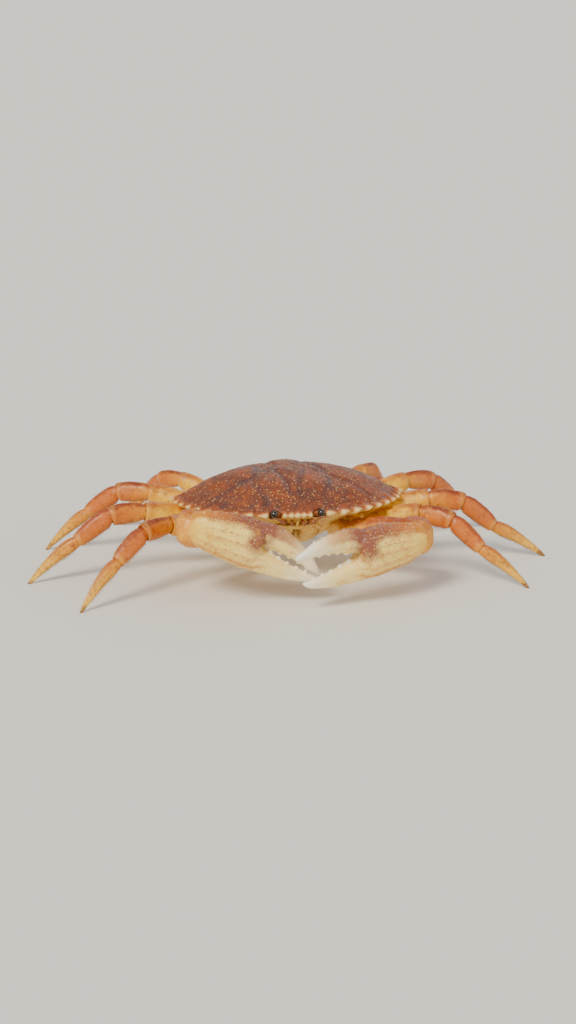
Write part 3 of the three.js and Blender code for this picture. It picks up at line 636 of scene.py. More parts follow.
def small_part_finish(name, dark, pale, patch, roughness):
    """Chitin of small parts, mottled between two colours by patches of a size in millimetres."""
    material, tree, shader, place = new_material(name)
    feed(tree, shader, {
        "Base Color": painted(tree, linear(dark), (mottle(tree, place, patch, 0.35, 0.65), linear(pale))),
        "Roughness": roughness, "IOR": CHITIN_IOR})
    return material


def floor_finish():
    """Plain pale studio paper, matt with a faint tooth."""
    material, tree, shader, place = new_material("Studio paper")
    tooth = add(tree, "ShaderNodeTexNoise", {"Vector": place, "Scale": 1 / (3 * MM), "Detail": 2.0})
    feed(tree, shader, {
        "Normal": add(tree, "ShaderNodeBump", {"Height": tooth, "Strength": 0.08, "Distance": 0.1 * MM}),
        "Base Color": painted(tree, linear("#E6E6E2"), (tooth, linear("#EAEAE6"))), "Roughness": 0.85})
    return material


# Back shell

# Front edge from the middle tooth to the outer tooth of the eye socket: [x, f]
BROW = [[0, 61.6], [2.2, 59], [4.6, 61.2], [7, 58.6], [9.6, 60.8], [11.4, 57], [15.4, 54.6], [19.2, 56.4]]
FRONT_TIP = BROW[0][1]
# The first and last tooth, in degrees round the front's oval. The notch before a tooth's point is a
# turn and a reach from it, the point leans forward, and its round back is a turn and a share of its reach
FIRST_TOOTH, LAST_TOOTH = 15.6, 88
NOTCH_TURN, NOTCH_REACH = -1.7, -0.5
TOOTH_LEAN = 1.6
TOOTH_BACK = [3.4, 0.45]
# Angles of the plain points round the rear
REAR_SAMPLES = [99, 110, 121, 132, 139, 144, 149, 158, 170, 180]
# Where the flank ends above the legs: [angle from straight ahead in degrees, radius]
LIP = [[0, 46], [25, 44], [60, 41], [90, 43], [125, 41], [150, 43], [180, 43.5]]
# Swellings over the organs: [x, f, spread across, spread along, height]
SWELLINGS = [[0, 14, 13, 12, 1.6], [16, 33, 11, 10, 1.5], [0, -20, 10, 11, 1.5], [45, 10, 16, 11, 1.5],
             [40, -14, 15, 11, 1.3], [42, 33, 11, 8, 1.1], [17, -2, 5, 16, -1.3], [30, 24, 5, 9, -1.0]]
# Grooves between the regions of the back, as lines of [x, f] on its left half
GROOVES = [[[5, -2], [12, 5], [19, 11], [27, 18], [38, 24], [50, 30], [58, 35]],
           [[8, -3], [13, -10], [13, -20], [10, -30], [9, -37]],
           [[3, 42], [5, 30], [9, 18], [12, 6]],
           [[27, 18], [27, 28], [22, 40], [20, 49]],
           [[27, 18], [22, 6], [20, -4], [13, -10]],
           [[0, -34], [12, -36], [24, -33], [34, -24]]]
# Depth and width of the grooves, and how wide the painted shade that darkens them spreads
GROOVE_DEPTH, GROOVE_WIDTH, GROOVE_SHADE_WIDTH = 0.85, 2.2, 2.6
# Rise of the edge in front, sharpness of the rear corners, and height of a tooth's keel
EDGE_TILT = 1.5
CORNER_POWER = 9
TOOTH_KEEL = 0.24
# The flank from the edge down to the lip: [share of the way in, share of the way down]
FLANK_DROP = [[0, 0], [0.1, 0.16], [0.4, 0.45], [0.75, 0.8], [1, 1]]
# Eye socket and feeler pit on the crab's left: middle as (x, f, z), and radii
HOLLOWS = [[(15.4, 57, 1.2), (4.6, 6, 4.4)], [(4.5, 57.6, -3.5), (2.5, 3.6, 2.3)]]


def outline(angle):
    """Radius of the shell's smooth outline, seen from above, at an angle from straight ahead."""
    s, c = np.abs(np.sin(angle)), np.cos(angle)
    front = 1 / np.hypot(s / HALF_WIDTH, c / FRONT_REACH)
    back = np.maximum(-c, 1e-6)
    flank = HALF_WIDTH * REAR_REACH / (REAR_REACH * s + (HALF_WIDTH - REAR_CORNER) * back)
    rear = REAR_REACH / back
    behind = (flank**-CORNER_POWER + rear**-CORNER_POWER) ** (-1 / CORNER_POWER)
    return np.where(c >= 0, front, behind)


def lip(angle):
    """Radius where the shell's flank ends above the leg bases."""
    return curve(LIP, np.degrees(np.abs(angle)))


def edge_level(angle):
    """Height of the edge, which is a little higher in front than behind."""
    return EDGE_TILT * np.cos(angle)


def edge_samples():
    """Samples round half of the edge: [angle, outward reach, forward lean]."""
    front = [[math.atan2(x, f), math.hypot(x, f) - float(outline(math.atan2(x, f))), 0] for x, f in BROW]
    step = (LAST_TOOTH - FIRST_TOOTH) / (TOOTH_PAIRS - 1)

    def polar(turn):
        """Angle from straight ahead of a point of the front edge, from its turn round the oval."""
        turn = math.radians(turn)
        return math.atan2(HALF_WIDTH * math.sin(turn), FRONT_REACH * math.cos(turn))

    teeth = []
    for k in range(TOOTH_PAIRS):
        turn = FIRST_TOOTH + k * step
        reach = LAST_TOOTH_REACH if k == TOOTH_PAIRS - 1 else TOOTH_REACH
        if k:
            teeth.append([polar(turn + NOTCH_TURN), NOTCH_REACH, 0])
        teeth.append([polar(turn), reach, TOOTH_LEAN])
        teeth.append([polar(turn + TOOTH_BACK[0]), reach * TOOTH_BACK[1], 0])
    rear = [[math.radians(angle), 0, 0] for angle in REAR_SAMPLES]
    return np.array([*front, *teeth, *rear])


def edge_line(finer):
    """The edge samples of both halves with finer steps between them, as angle, reach and lean."""
    half = edge_samples()
    steps = [np.linspace(a, b, finer, endpoint=False) for a, b in zip(half[:-1], half[1:])]
    line = np.concatenate([*steps, half[-1:]])
    other = line[1:-1][::-1] * [-1, 1, 1]
    return np.concatenate([line, other])


def groove_share(x, f, width):
    """How near a point of the back lies to a groove, from 0 to 1 in the groove's bottom."""
    place = np.stack([np.abs(x), f], -1)
    total = np.zeros(np.shape(x))
    for line in GROOVES:
        near = np.full(np.shape(x), 1e9)
        for a, b in zip(np.array(line[:-1], float), np.array(line[1:], float)):
            share = np.clip(((place - a) @ (b - a)) / ((b - a) @ (b - a)), 0, 1)
            near = np.minimum(near, np.linalg.norm(place - a - share[..., None] * (b - a), axis=-1))
        total = np.maximum(total, bell(near, width))
    return total


def dome_height(x, f, share):
    """Height of the back above its edge."""
    lobes = sum(height * bell(np.abs(x) - cx, sx) * bell(f - cf, sf)
                for cx, cf, sx, sf, height in SWELLINGS)
    return DOME_HEIGHT * (1 - share**DOME_FALL) + lobes * (1 - share**SWELLING_FALL)


def carapace_skin(rows=92, finer=6):
    """The back shell with its toothed edge and the flanks under it."""
    angle, reach, lean = edge_line(finer).T
    s, c = np.sin(angle), np.cos(angle)
    share = np.concatenate([np.linspace(0.02, 0.9, rows), np.linspace(0.91, 1, 14)])[:, None]
    fade = ease(share, 0.9, 0.985) * (0.35 + 0.65 * ease(share, 0.93, 1.0))
    radius = outline(angle) * share + reach * fade
    x, f = radius * s, radius * c + lean * fade
    grooves = GROOVE_DEPTH * groove_share(x, f, GROOVE_WIDTH) * (1 - ease(share, 0.88, 0.98))
    height = dome_height(x, f, share) - grooves + edge_level(angle) * share
    # Each tooth is keeled: high along its middle and lower at its notch
    dome = at(x, f, height + TOOTH_KEEL * fade * np.clip(reach, -0.6, 3))
    inward = np.linspace(0.02, 1, 22)[:, None]
    hold = 1 - ease(inward, 0.05, 0.35)
    radius = outline(angle) * (0.97 + 0.03 * (1 - ease(inward, 0.02, 0.3))) + reach * hold
    x, f = radius * s, radius * c + lean * hold
    inner, level = lip(angle), edge_level(angle)
    flank = at(x + (inner * s - x) * inward, f + (inner * c - f) * inward,
               level + (-FLANK_DEPTH - level) * curve(FLANK_DROP, inward))
    return skin(np.concatenate([dome, flank]))


def ball(centre, radii, rows=24, count=32):
    """Closed skin of an oval ball."""
    tilt = np.linspace(0, np.pi, rows + 2)[1:-1, None]
    turn = np.linspace(0, 2 * np.pi, count, endpoint=False)
    sphere = (np.sin(tilt) * np.cos(turn), np.sin(tilt) * np.sin(turn), np.cos(tilt))
    return skin(np.stack(np.broadcast_arrays(*sphere), -1) * np.asarray(radii) + centre)


def cut_away(mesh, tools):
    """The mesh with closed shapes cut out of it."""
    cutter = bpy.data.objects.new("cutter", bare_mesh("cutter", *together(*tools)))
    bpy.context.collection.objects.link(cutter)
    result = worked(mesh, ("BOOLEAN", {"operation": "DIFFERENCE", "object": cutter, "solver": "MANIFOLD"}))
    bpy.data.objects.remove(cutter)
    return result


class CRAB_OT_back_shell(bpy.types.Operator):
    """Builds the toothed back shell with its eye sockets and flanks"""
    bl_idname = "crab.back_shell"
    bl_label = "Back shell"

    def execute(self, context):
        hollows = [ball(at(hand * x, f, z), radii) for hand in SIDES.values() for (x, f, z), radii in HOLLOWS]
        mesh = cut_away(bare_mesh("carapace", *carapace_skin()), hollows)
        roughened(mesh, (0.35, 7, 0), (0.16, 2.2, 9))
        points, normals = mesh_points(mesh)
        x, f = points[:, 0], -points[:, 1]
        angle = np.arctan2(x, f)
        share = np.hypot(x, f) / outline(angle)
        level = points[:, 2] - MARGIN_HEIGHT - edge_level(angle)
        toothed = ease(np.cos(angle), -0.2, 0.1)
        marks = {
            "rim": ease(share, 0.955, 1.035) * (0.4 + 0.6 * toothed) * ease(level, -2.5, -0.5),
            "under": (1 - ease(level, -1.5, 0.2)) * (1 - ease(normals[:, 2], -0.1, 0.3)),
            # The groove mark places painted shade along the back's grooves
            "groove": groove_share(x, f, GROOVE_SHADE_WIDTH) * (1 - ease(share, 0.85, 0.95)),
        }
        finish = shell_finish("Back shell chitin", back_shell_colour, grain=1.1, grain_depth=0.2)
        finish_piece(mesh, "back_shell", finish, ["carapace"], marks)
        return {"FINISHED"}


# Underside

# Walls above the limbs, from the flank's lip down: [z, share of the lip across, share of it forward]
WALL = [[-12, 1, 1], [-18, 0.93, 0.9], [-23, 0.74, 0.76], [-26, 0.6, 0.64]]
# Seams between the breastplates, as [f in the middle, f at the side]
BREAST_SEAMS = [[24, 27], [11, 8], [-2, -7], [-14, -21]]
# Joints of the tail flap, from behind the shell forward under the breastplate: [f, z, width]
TAIL = [[-45.4, -6, 38], [-47.4, -11, 40], [-45, -16.6, 38], [-38.6, -22, 33], [-28, -25.8, 26],
        [-14, -27.2, 18], [1, -27, 12], [14, -26, 5]]
# How strongly the tail's plates arch across
TAIL_CURL = 0.006


def breast_skin(rows=40, count=180):
    """Breastplate and the walls that carry the limbs, with the seams between its plates."""
    angle = np.linspace(0, 2 * np.pi, count, endpoint=False)
    signed = np.where(angle > np.pi, angle - 2 * np.pi, angle)
    drop = np.linspace(0, 1, rows)[:, None]
    steps = np.linspace(0, 1, len(WALL))
    table = np.array(WALL, float)
    level, across, fore = [curve(np.stack([steps, table[:, k]], -1), drop) for k in range(3)]
    radius = lip(signed) - GAP
    x, f = radius * np.sin(signed) * across, radius * np.cos(signed) * fore
    wall = at(x, f, level - GAP * (1 - drop))
    inner = np.linspace(0.96, 0.03, 34)[:, None]
    x, f = x[-1] * inner, f[-1] * inner
    # The floor of the breast is a little crowned, with a raised keel along its middle
    depth = WALL[-1][0] - 0.8 * (1 - inner**2)
    seam = sum(bell(f - (middle + (side - middle) * np.abs(x) / 26), 0.9) for middle, side in BREAST_SEAMS)
    depth = depth + 0.9 * seam * ease(np.abs(x), 3, 8) + 0.7 * bell(x, 1.2)
    return skin(np.concatenate([wall, at(x, f, depth)]))


def oval(centre, up, side, height, thickness, count, power=2.0):
    """Rings of points round centres. Directions and sizes may be one for all rings or one for each."""
    turn = np.linspace(0, 2 * np.pi, count, endpoint=False)
    s, c = np.sin(turn), np.cos(turn)
    s = np.sign(s) * np.abs(s) ** (2 / power)
    c = np.sign(c) * np.abs(c) ** (2 / power)
    height, thickness = [np.asarray(v, float)[..., None, None] / 2 for v in (height, thickness)]
    return (np.asarray(centre)[..., None, :] + np.asarray(up)[..., None, :] * s[:, None] * height
            + np.asarray(side)[..., None, :] * c[:, None] * thickness)


def tail_skins(rows=26, count=96):
    """Seven arched plates of the tail flap, each a little over the next."""
    table = np.array(TAIL, float)
    joints = np.arange(len(TAIL))
    skins = []
    for k in joints[:-1]:
        t = np.linspace(-0.07, 1.04, rows)
        f, z, width = [curve(np.stack([joints, table[:, column]], -1), k + t) for column in range(3)]
        centre = at(0 * f, f, z)
        axis = unit(np.gradient(centre, axis=0))
        up = np.cross(ACROSS, axis)
        width = width * (1 - 0.06 * ease(t, 0.0, 0.3) + 0.06 * ease(t, 0.6, 1.0))
        ends = np.sqrt(np.clip(np.minimum((t + 0.08) / 0.12, (1.05 - t) / 0.09), 0.1, 1))
        thick = (2.6 + 1.3 * ease(t, 0.1, 0.9)) * ends
        rings = oval(centre, up, ACROSS, thick, width * (0.9 + 0.1 * ends), count, 3.0)
        # Each plate is arched across and keeled along its middle, with a sunk furrow on either side
        side = rings[..., 0]
        furrows = 0.45 * bell(np.abs(side) - 0.3 * width[:, None], 1.8)
        fall = -TAIL_CURL * side**2 + 0.5 * bell(side, 2.4) - furrows
        skins.append(skin(rings + up[:, None, :] * fall[..., None]))
    return skins


class CRAB_OT_underside(bpy.types.Operator):
    """Builds the breastplate and the tail flap folded under it"""
    bl_idname = "crab.underside"
    bl_label = "Underside"

    def execute(self, context):
        finish = shell_finish("Belly chitin", belly_colour, grain=0.8, grain_depth=0.08)
        breast = roughened(bare_mesh("breastplate", *breast_skin()), (0.25, 5, 0))
        finish_piece(breast, "breastplate", finish, ["thorax"])
        tail = roughened(bare_mesh("tail_plates", *together(*tail_skins())), (0.15, 4, 0))
        finish_piece(tail, "tail_plates", finish, ["tail_flap"])
        return {"FINISHED"}


# Limbs

# The segments of a walking leg, and of the flatter hindmost one: [share of the length, height, thickness]
LEG_SHAPES = {
    "base": [[0, 12, 11.4], [0.3, 13.6, 12], [0.5, 12, 10.6], [0.62, 12.6, 11], [1, 12, 10]],
    "merus": [[0, 12, 9.8], [0.14, 15, 11], [0.42, 18, 12.4], [0.72, 17.4, 12.2], [0.92, 15, 11.4],
              [1, 13, 10.6]],
    "carpus": [[0, 11.4, 9.6], [0.22, 13.6, 10.8], [0.6, 15.2, 11.8], [0.88, 14, 11], [1, 11.8, 10]],
    "propodus": [[0, 11, 9], [0.2, 13.4, 10.2], [0.55, 13, 9.8], [0.88, 10.8, 8.6], [1, 9.4, 7.8]],
    "dactyl": [[0, 8.8, 7.2], [0.16, 9.8, 7.8], [0.45, 7.8, 6.2], [0.75, 4.9, 4], [0.92, 2.8, 2.4],
               [1, 1.8, 1.7]],
}
PADDLE_SHAPES = {
    **LEG_SHAPES,
    "propodus": [[0, 11, 7.8], [0.2, 14, 8.4], [0.55, 14.4, 8], [0.88, 11.6, 7], [1, 10, 6.4]],
    "dactyl": [[0, 9.2, 6], [0.18, 11, 5.8], [0.45, 9.6, 4.8], [0.75, 6, 3.2], [0.92, 3.1, 2.2],
               [1, 1.8, 1.7]],
}
# Walking legs, front to back: socket [x, f, z], size, forward turn of each segment and its rise
LEGS = [
    {"socket": [33, 11, -19], "size": 0.95, "turn": [24, 31, 33, 31, 28], "rise": [-3, 18, -4, -37],
     "shapes": LEG_SHAPES},
    {"socket": [35, -2.5, -19], "size": 1, "turn": [5, 7, 8, 6, 4], "rise": [-3, 16, -3, -36],
     "shapes": LEG_SHAPES},
    {"socket": [33, -16, -19], "size": 0.96, "turn": [-16, -20, -22, -20, -17], "rise": [-3, 19, -5, -38],
     "shapes": LEG_SHAPES},
    {"socket": [27, -28, -18], "size": 0.84, "turn": [-40, -46, -50, -47, -43], "rise": [-4, 20, -12, -46],
     "shapes": PADDLE_SHAPES},
]
LEG_LENGTHS = {"base": 21, "merus": 49, "carpus": 25, "propodus": 29, "dactyl": 45}
LEG_PARTS = list(LEG_LENGTHS)
# How the legs of either side stand apart from the mean stance, in degrees
SPREAD = {"right": {"turn": 3, "rise": 2}, "left": {"turn": -2, "rise": -3}}


def heading(hand, turn, rise):
    """Direction out of the crab's side: turn is forward of straight out, rise above level."""
    turn, rise = math.radians(turn), math.radians(rise)
    level = math.cos(rise)
    return np.array([hand * level * math.cos(turn), -level * math.sin(turn), math.sin(rise)])


def handed(hand, places):
    """Points of the body for either side, from (x, f, z) places given on the crab's left."""
    return [at(hand * x, f, z) for x, f, z in places]


def mitre(a, b):
    """Normal of the joint plane between two segments' directions."""
    return unit(a + b)


def leg_joints(leg, side):
    """Joints of a walking leg from its socket to its tip, which reaches the floor."""
    hand, lean = SIDES[side], SPREAD[side]
    joints = handed(hand, [leg["socket"]])
    for k, part in enumerate(LEG_PARTS):
        length = LEG_LENGTHS[part] * leg["size"]
        if part == "dactyl":
            rise = -math.degrees(math.asin(joints[k][2] / length))
        else:
            rise = leg["rise"][k] + (lean["rise"] if k > 1 else 0)
        turn = leg["turn"][k] + (lean["turn"] if k else 0)
        joints.append(joints[k] + heading(hand, turn, rise) * length)
    return joints


def limb_frame(start, end, up):
    """Axis, rise and side of a segment."""
    axis = unit(end - start)
    rise = unit(up - axis * (up @ axis))
    return axis, rise, np.cross(axis, rise)


# Rings past the ends of a segment, as [share of the last ring's size, way back in millimetres]: a neck
# runs on into the segment before, and a socket turns in to hold the next one
NECK_RINGS = [[0.45, 3.6], [0.8, 3.0], [0.93, 1.6]]
SOCKET_RINGS = [[0.95, -0.12], [0.9, 0.3], [0.86, 1.6], [0.5, 2.2]]
# Rings of a leg segment, and points a ring
LEG_ROWS, LEG_COUNT = 46, 44


def limb_skin(spec, rows=LEG_ROWS, count=LEG_COUNT):
    """One limb segment between its joints: necked where it leaves a socket, lipped where it holds one."""
    start, end, tip = spec["from"], spec["to"], spec.get("tip")
    axis, rise, side = limb_frame(start, end, spec.get("up", UP))
    start_plane, end_plane = spec.get("start_plane"), spec.get("end_plane")
    if start_plane is not None:
        start = start + start_plane * GAP / 2
    if end_plane is not None and not tip:
        end = end - end_plane * GAP / 2
    length = np.linalg.norm(end - start)
    t = np.linspace(0, 1, rows)
    size = np.array([curve(spec["stations"], t, k) for k in (1, 2)])
    if start_plane is not None:
        size = size * (1 - 0.1 * bell(t * length, 1.8))
    if not tip:
        size = size * (1 + 0.05 * bell((1 - t) * length - 1.2, 2.0))
    bow = 4 * spec.get("bow", 0) * t * (1 - t)
    centre = start + (end - start) * t[:, None] + rise * bow[:, None]
    rings = oval(centre, rise, side, *size, count, spec.get("power", 2.2))
    rings = relieved(rings, centre, t, length, spec)
    # A ring lies in the joint's plane at either end, and turns square to the axis away from it
    for plane, edge, along, share in ((start_plane, start, t * length, t),
                                      (end_plane, end, (t - 1) * length, 1 - t)):
        if plane is not None:
            level = edge + axis * along[:, None]
            distance = ((level[:, None, :] - rings) @ plane) / (axis @ plane)
            near = np.clip(1 - share / 0.3, 0, 1)
            rings = rings + axis * (distance * near[:, None])[..., None]
    middle = rings.mean(axis=1)
    neck = NECK_RINGS if start_plane is not None else []
    socket = SOCKET_RINGS if not tip else []
    return skin([*[middle[0] + (rings[0] - middle[0]) * scale - axis * back for scale, back in neck], *rings,
                 *[middle[-1] + (rings[-1] - middle[-1]) * scale - axis * back for scale, back in socket]])


def relieved(rings, centre, t, length, spec):
    """Ridges, furrows and joint knobs of a limb segment, the first two as [angle, spread, height]."""
    turn = np.degrees(np.linspace(0, 2 * np.pi, rings.shape[1], endpoint=False))
    out = unit(rings - centre[:, None, :])
    along = (t * length)[:, None]
    shift = np.zeros(rings.shape[:2])

    def around(angle, spread_angle):
        """How near each point of a ring lies to an angle round it."""
        gap = (turn - angle + 180) % 360 - 180
        return bell(gap, spread_angle)

    middle = ease(t, 0.06, 0.2)[:, None] * (1 - ease(t, 0.86, 0.98))[:, None]
    for angle, spread_angle, height in spec.get("ridges", []):
        beads = 0.65 + 0.35 * np.cos(along * 2 * np.pi / LIMB_BEAD_STEP)
        shift += height * around(angle, spread_angle) * middle * beads
    for angle, spread_angle, depth in spec.get("furrows", []):
        shift -= depth * around(angle, spread_angle) * middle
    if not spec.get("tip"):
        for angle in (0, 180):
            shift += 0.7 * around(angle, 24) * bell(along - length + 2.6, 1.9)
    return rings + out * shift[..., None]


# Spacing of the beads on the ridges of legs and arms
LIMB_BEAD_STEP = 1.9
# Ridges and furrows of a leg's segments: [angle round the section, spread of angle, height or depth]
RIDGES = {
    "base": {},
    "merus": {"ridges": [[90, 13, 0.5], [270, 13, 0.3]], "furrows": [[20, 20, 0.35], [160, 20, 0.35]]},
    "carpus": {"ridges": [[62, 11, 0.6], [118, 11, 0.6]],
               "furrows": [[90, 15, 0.5], [0, 18, 0.3], [180, 18, 0.3]]},
    "propodus": {"ridges": [[62, 11, 0.5], [118, 11, 0.5]],
                 "furrows": [[90, 14, 0.5], [0, 18, 0.4], [180, 18, 0.4]]},
    "dactyl": {"ridges": [[90, 16, 0.15]],
               "furrows": [[0, 12, 0.4], [180, 12, 0.4], [50, 10, 0.28], [130, 10, 0.28], [270, 12, 0.2]]},
}
# How far the upper edge of a leg leans back
LEG_LEAN = 0.35


def leg_specs(leg, side):
    """What each segment of a walking leg is made from."""
    joints = leg_joints(leg, side)
    axes = [unit(b - a) for a, b in zip(joints[:-1], joints[1:])]
    turn = math.radians(leg["turn"][1])
    backward = np.array([SIDES[side] * math.sin(turn), math.cos(turn), 0])
    specs = []
    for k, part in enumerate(LEG_PARTS):
        specs.append({
            "part": part, "from": joints[k], "to": joints[k + 1], "tip": part == "dactyl",
            "up": UP + backward * LEG_LEAN,
            "start_plane": mitre(axes[k - 1], axes[k]) if k else None,
            "end_plane": -UP if part == "dactyl" else mitre(axes[k], axes[k + 1]),
            "stations": [[t, h * leg["size"], w * leg["size"]] for t, h, w in leg["shapes"][part]],
            "bow": 1.6 if part == "dactyl" else 0.5,
            "power": 1.9 if part == "merus" else 2.2,
            **RIDGES[part],
        })
    return specs


def limb_marks(mesh, spec, reach):
    """Where each point lies along the whole limb, how far it looks down, and the knobs by the joint."""
    points, normals = mesh_points(mesh)
    axis, rise, _ = limb_frame(spec["from"], spec["to"], spec.get("up", UP))
    length = np.linalg.norm(spec["to"] - spec["from"])
    share = np.clip((points - spec["from"]) @ axis / length, 0, 1)
    first, last = reach
    return {"reach": first + (last - first) * share, "under": 1 - ease(normals @ rise, -0.1, 0.85),
            "rim": 0.3 * bell((1 - share) * length - 1.5, 1.6)}


# Stretch of each segment along the leg's colours
LEG_REACH = {"base": (0, 0.13), "merus": (0.13, 0.42), "carpus": (0.42, 0.58), "propodus": (0.58, 0.77),
             "dactyl": (0.77, 1.0)}


class CRAB_OT_legs(bpy.types.Operator):
    """Builds the eight walking legs, five plates each"""
    bl_idname = "crab.legs"
    bl_label = "Walking legs"

    def execute(self, context):
        finish = shell_finish("Leg chitin", leg_colour, grain=0.8, grain_depth=0.1)
        membranes = []
        for side in SIDES:
            for number, leg in enumerate(LEGS, 1):
                for spec in leg_specs(leg, side):
                    name = f"leg_{side}_{number}_{spec['part']}"
                    depth = 0.08 if spec["tip"] else 0.22
                    mesh = roughened(bare_mesh(name, *limb_skin(spec)), (depth, 3.5, number))
                    marks = limb_marks(mesh, spec, LEG_REACH[spec["part"]])
                    finish_piece(mesh, f"{name}_plate", finish, [name], marks)
                    if not spec["tip"]:
                        membranes.append(membrane_skin(spec))
        mesh = bare_mesh("leg_joint_skins", *together(*membranes))
        finish_piece(mesh, "leg_joint_skins", membrane_finish())
        return {"FINISHED"}


# Soft skin across a joint: [way along the joint's normal, share of the segment's size]
MEMBRANE = [[-2.6, 0.55], [-1.8, 0.86], [-0.9, 0.97], [0, 0.94], [0.9, 0.97], [1.8, 0.86], [2.6, 0.55]]


def membrane_skin(spec, share=0.86):
    """Soft skin across a joint, inside the lip of the segment before it."""
    _, rise, _ = limb_frame(spec["from"], spec["to"], spec.get("up", UP))
    normal = spec["end_plane"]
    _, height, thickness = spec["stations"][-1]
    along, size = np.array(MEMBRANE).T
    up = unit(rise - normal * (rise @ normal))
    return skin(oval(spec["to"] + normal * along[:, None], up, np.cross(normal, up), height * (share * size),
                     thickness * (share * size), 28, 2.2))


# Claws

# Hand and fingers: [way along the hand, height of the middle line, height, thickness]
PALM = [[0, 0, 17, 14], [5, 0.5, 23, 18], [15, 0, 29, 22], [30, -0.5, 34, 24], [42, -1.8, 36, 24],
        [47.5, -3, 33.4, 21.5], [50.5, -3.6, 26, 15]]
FIXED_FINGER = [[32, -6, 22, 19], [42, -8, 22, 19.5], [51, -11.2, 17.6, 17], [62, -13.6, 13.5, 12.8],
                [75, -15.4, 9.6, 9], [86, -15.4, 5.8, 5.6], [92.5, -13.6, 1.6, 1.6]]
MOVING_FINGER = [[43.5, 6, 15, 12], [50, 7.6, 17, 13.5], [58, 7, 16.4, 13], [69, 3.4, 13.6, 11],
                 [80, -2.2, 10, 8.4], [88, -7.6, 6.4, 5.4], [94, -12, 1.8, 1.8]]
# The moving finger's hinge: [way along the hand, height]
HINGE = [46.5, 6.5]
# Points round a ring of the hand, how square its section is, and the spacing of beads on its ridges
HAND_COUNT, HAND_POWER = 64, 2.3
HAND_BEAD_STEP = 2.1
# Large and small teeth in turn: how many, and the stretch of the finger that they take
TOOTH_COUNT, TOOTH_START, TOOTH_RUN = 9, 57, 27
# The rows of a crest: [outward, share of the size, height, way along]
CREST_ROWS = [[1.0, 1.0, 0.0, 0.0], [-4.0, 0.6, -1.0, 1.8]]
# Elbow and wrist as [x, f, z] on the crab's left, then in degrees how the hand turns forward, rises and
# rolls, and how far its finger is open
CLAWS = {
    "right": {"elbow": [70, 57, -8], "wrist": [77, 79, 4], "turn": 8, "rise": -15, "roll": 4, "open": 1},
    "left": {"elbow": [75, 57, -13], "wrist": [83, 82, -11], "turn": 18, "rise": -4, "roll": 6, "open": 20},
}
SHOULDER = [29, 25, -17]
SHOULDER_END = [39, 35, -17.5]
# The arm's segments: [share of the length, height, thickness]
ARM_SHAPE = [[0, 13, 12], [0.3, 17, 14], [0.65, 19.5, 15], [0.9, 18, 14.5], [1, 16, 13.5]]
WRIST_SHAPE = [[0, 15, 14], [0.15, 20, 19], [0.4, 25, 22], [0.75, 25.6, 22.4], [0.95, 22, 19],
               [1.1, 14, 12], [1.16, 7, 6]]
SHOULDER_SHAPE = [[0, 13, 12.5], [0.4, 15, 13.5], [0.65, 13, 12], [1, 13, 12]]
# Points round a ring of the wrist
WRIST_COUNT = 60


def turned(vector, axis, degrees):
    """A vector turned about an axis by the right-hand rule."""
    angle = math.radians(degrees)
    axis = unit(axis)
    return (vector * math.cos(angle) + np.cross(axis, vector) * math.sin(angle)
            + axis * (axis @ vector) * (1 - math.cos(angle)))


def hand_axes(side):
    """Length, up and outward directions of a claw's hand."""
    hand, claw = SIDES[side], CLAWS[side]
    length = heading(-hand, claw["turn"], claw["rise"])
    up = turned(unit(UP - length * (UP @ length)), length, -hand * claw["roll"])
    return length, up, np.cross(up, length) * hand


def about_hinge(s, y, degrees):
    """A place in the plane of the hand, turned open about the moving finger's hinge."""
    c, n = math.cos(math.radians(degrees)), math.sin(math.radians(degrees))
    ds, dy = s - HINGE[0], y - HINGE[1]
    return HINGE[0] + ds * c - dy * n, HINGE[1] + ds * n + dy * c


def hand_point(side, s, y, out=0.0, opening=0.0):
    """A point of the hand, with the moving finger turned open about its hinge."""
    length, up, outward = hand_axes(side)
    s, y = np.asarray(s, float), np.asarray(y, float)
    if opening:
        s, y = about_hinge(s, y, opening)
    s, y, out = np.broadcast_arrays(s, y, out)
    wrist, = handed(SIDES[side], [CLAWS[side]["wrist"]])
    return wrist + length * s[..., None] + up * y[..., None] + outward * out[..., None]


def hand_place(side, points, opening=0.0):
    """How far points lie along the hand, above its middle and outward."""
    length, up, outward = hand_axes(side)
    wrist, = handed(SIDES[side], [CLAWS[side]["wrist"]])
    local = points - wrist
    s, y = local @ length, local @ up
    if opening:
        s, y = about_hinge(s, y, -opening)
    return s, y, local @ outward


def hand_rings(side, stations, opening=0.0, rows=70, ridges=()):
    """Rings of the hand or a finger, each square to the centre line."""
    first, last = stations[0][0], stations[-1][0]
    s = np.linspace(first, last, rows)
    y, height, thickness = [curve(stations, s, k) for k in (1, 2, 3)]
    ends = np.sqrt(np.clip((last - s) / 1.5, 0.05, 1))
    centres = hand_point(side, s, y, 0, opening)
    axis = unit(np.gradient(centres, axis=0))
    _, up, outward = hand_axes(side)
    rise = unit(np.cross(outward, axis))
    rise = rise * np.sign(rise @ up)[:, None]
    rings = oval(centres, rise, outward, height * ends, thickness * ends, HAND_COUNT, HAND_POWER)
    out = unit(rings - centres[:, None, :])
    turn = np.linspace(0, 2 * np.pi, HAND_COUNT, endpoint=False)
    # Height of each point in its section, from -1 at the lower edge to 1 at the upper
    level, outer = np.sin(turn), np.cos(turn) > 0
    beads = 0.7 + 0.3 * np.cos(s * 2 * np.pi / HAND_BEAD_STEP)
    for place, width, ridge_height, start, stop in ridges:
        run = ease(s, start, start + 5) * (1 - ease(s, stop - 5, stop)) * beads
        bump = ridge_height * bell(level - place, width) * outer
        rings = rings + out * (run[:, None] * bump)[..., None]
    return rings


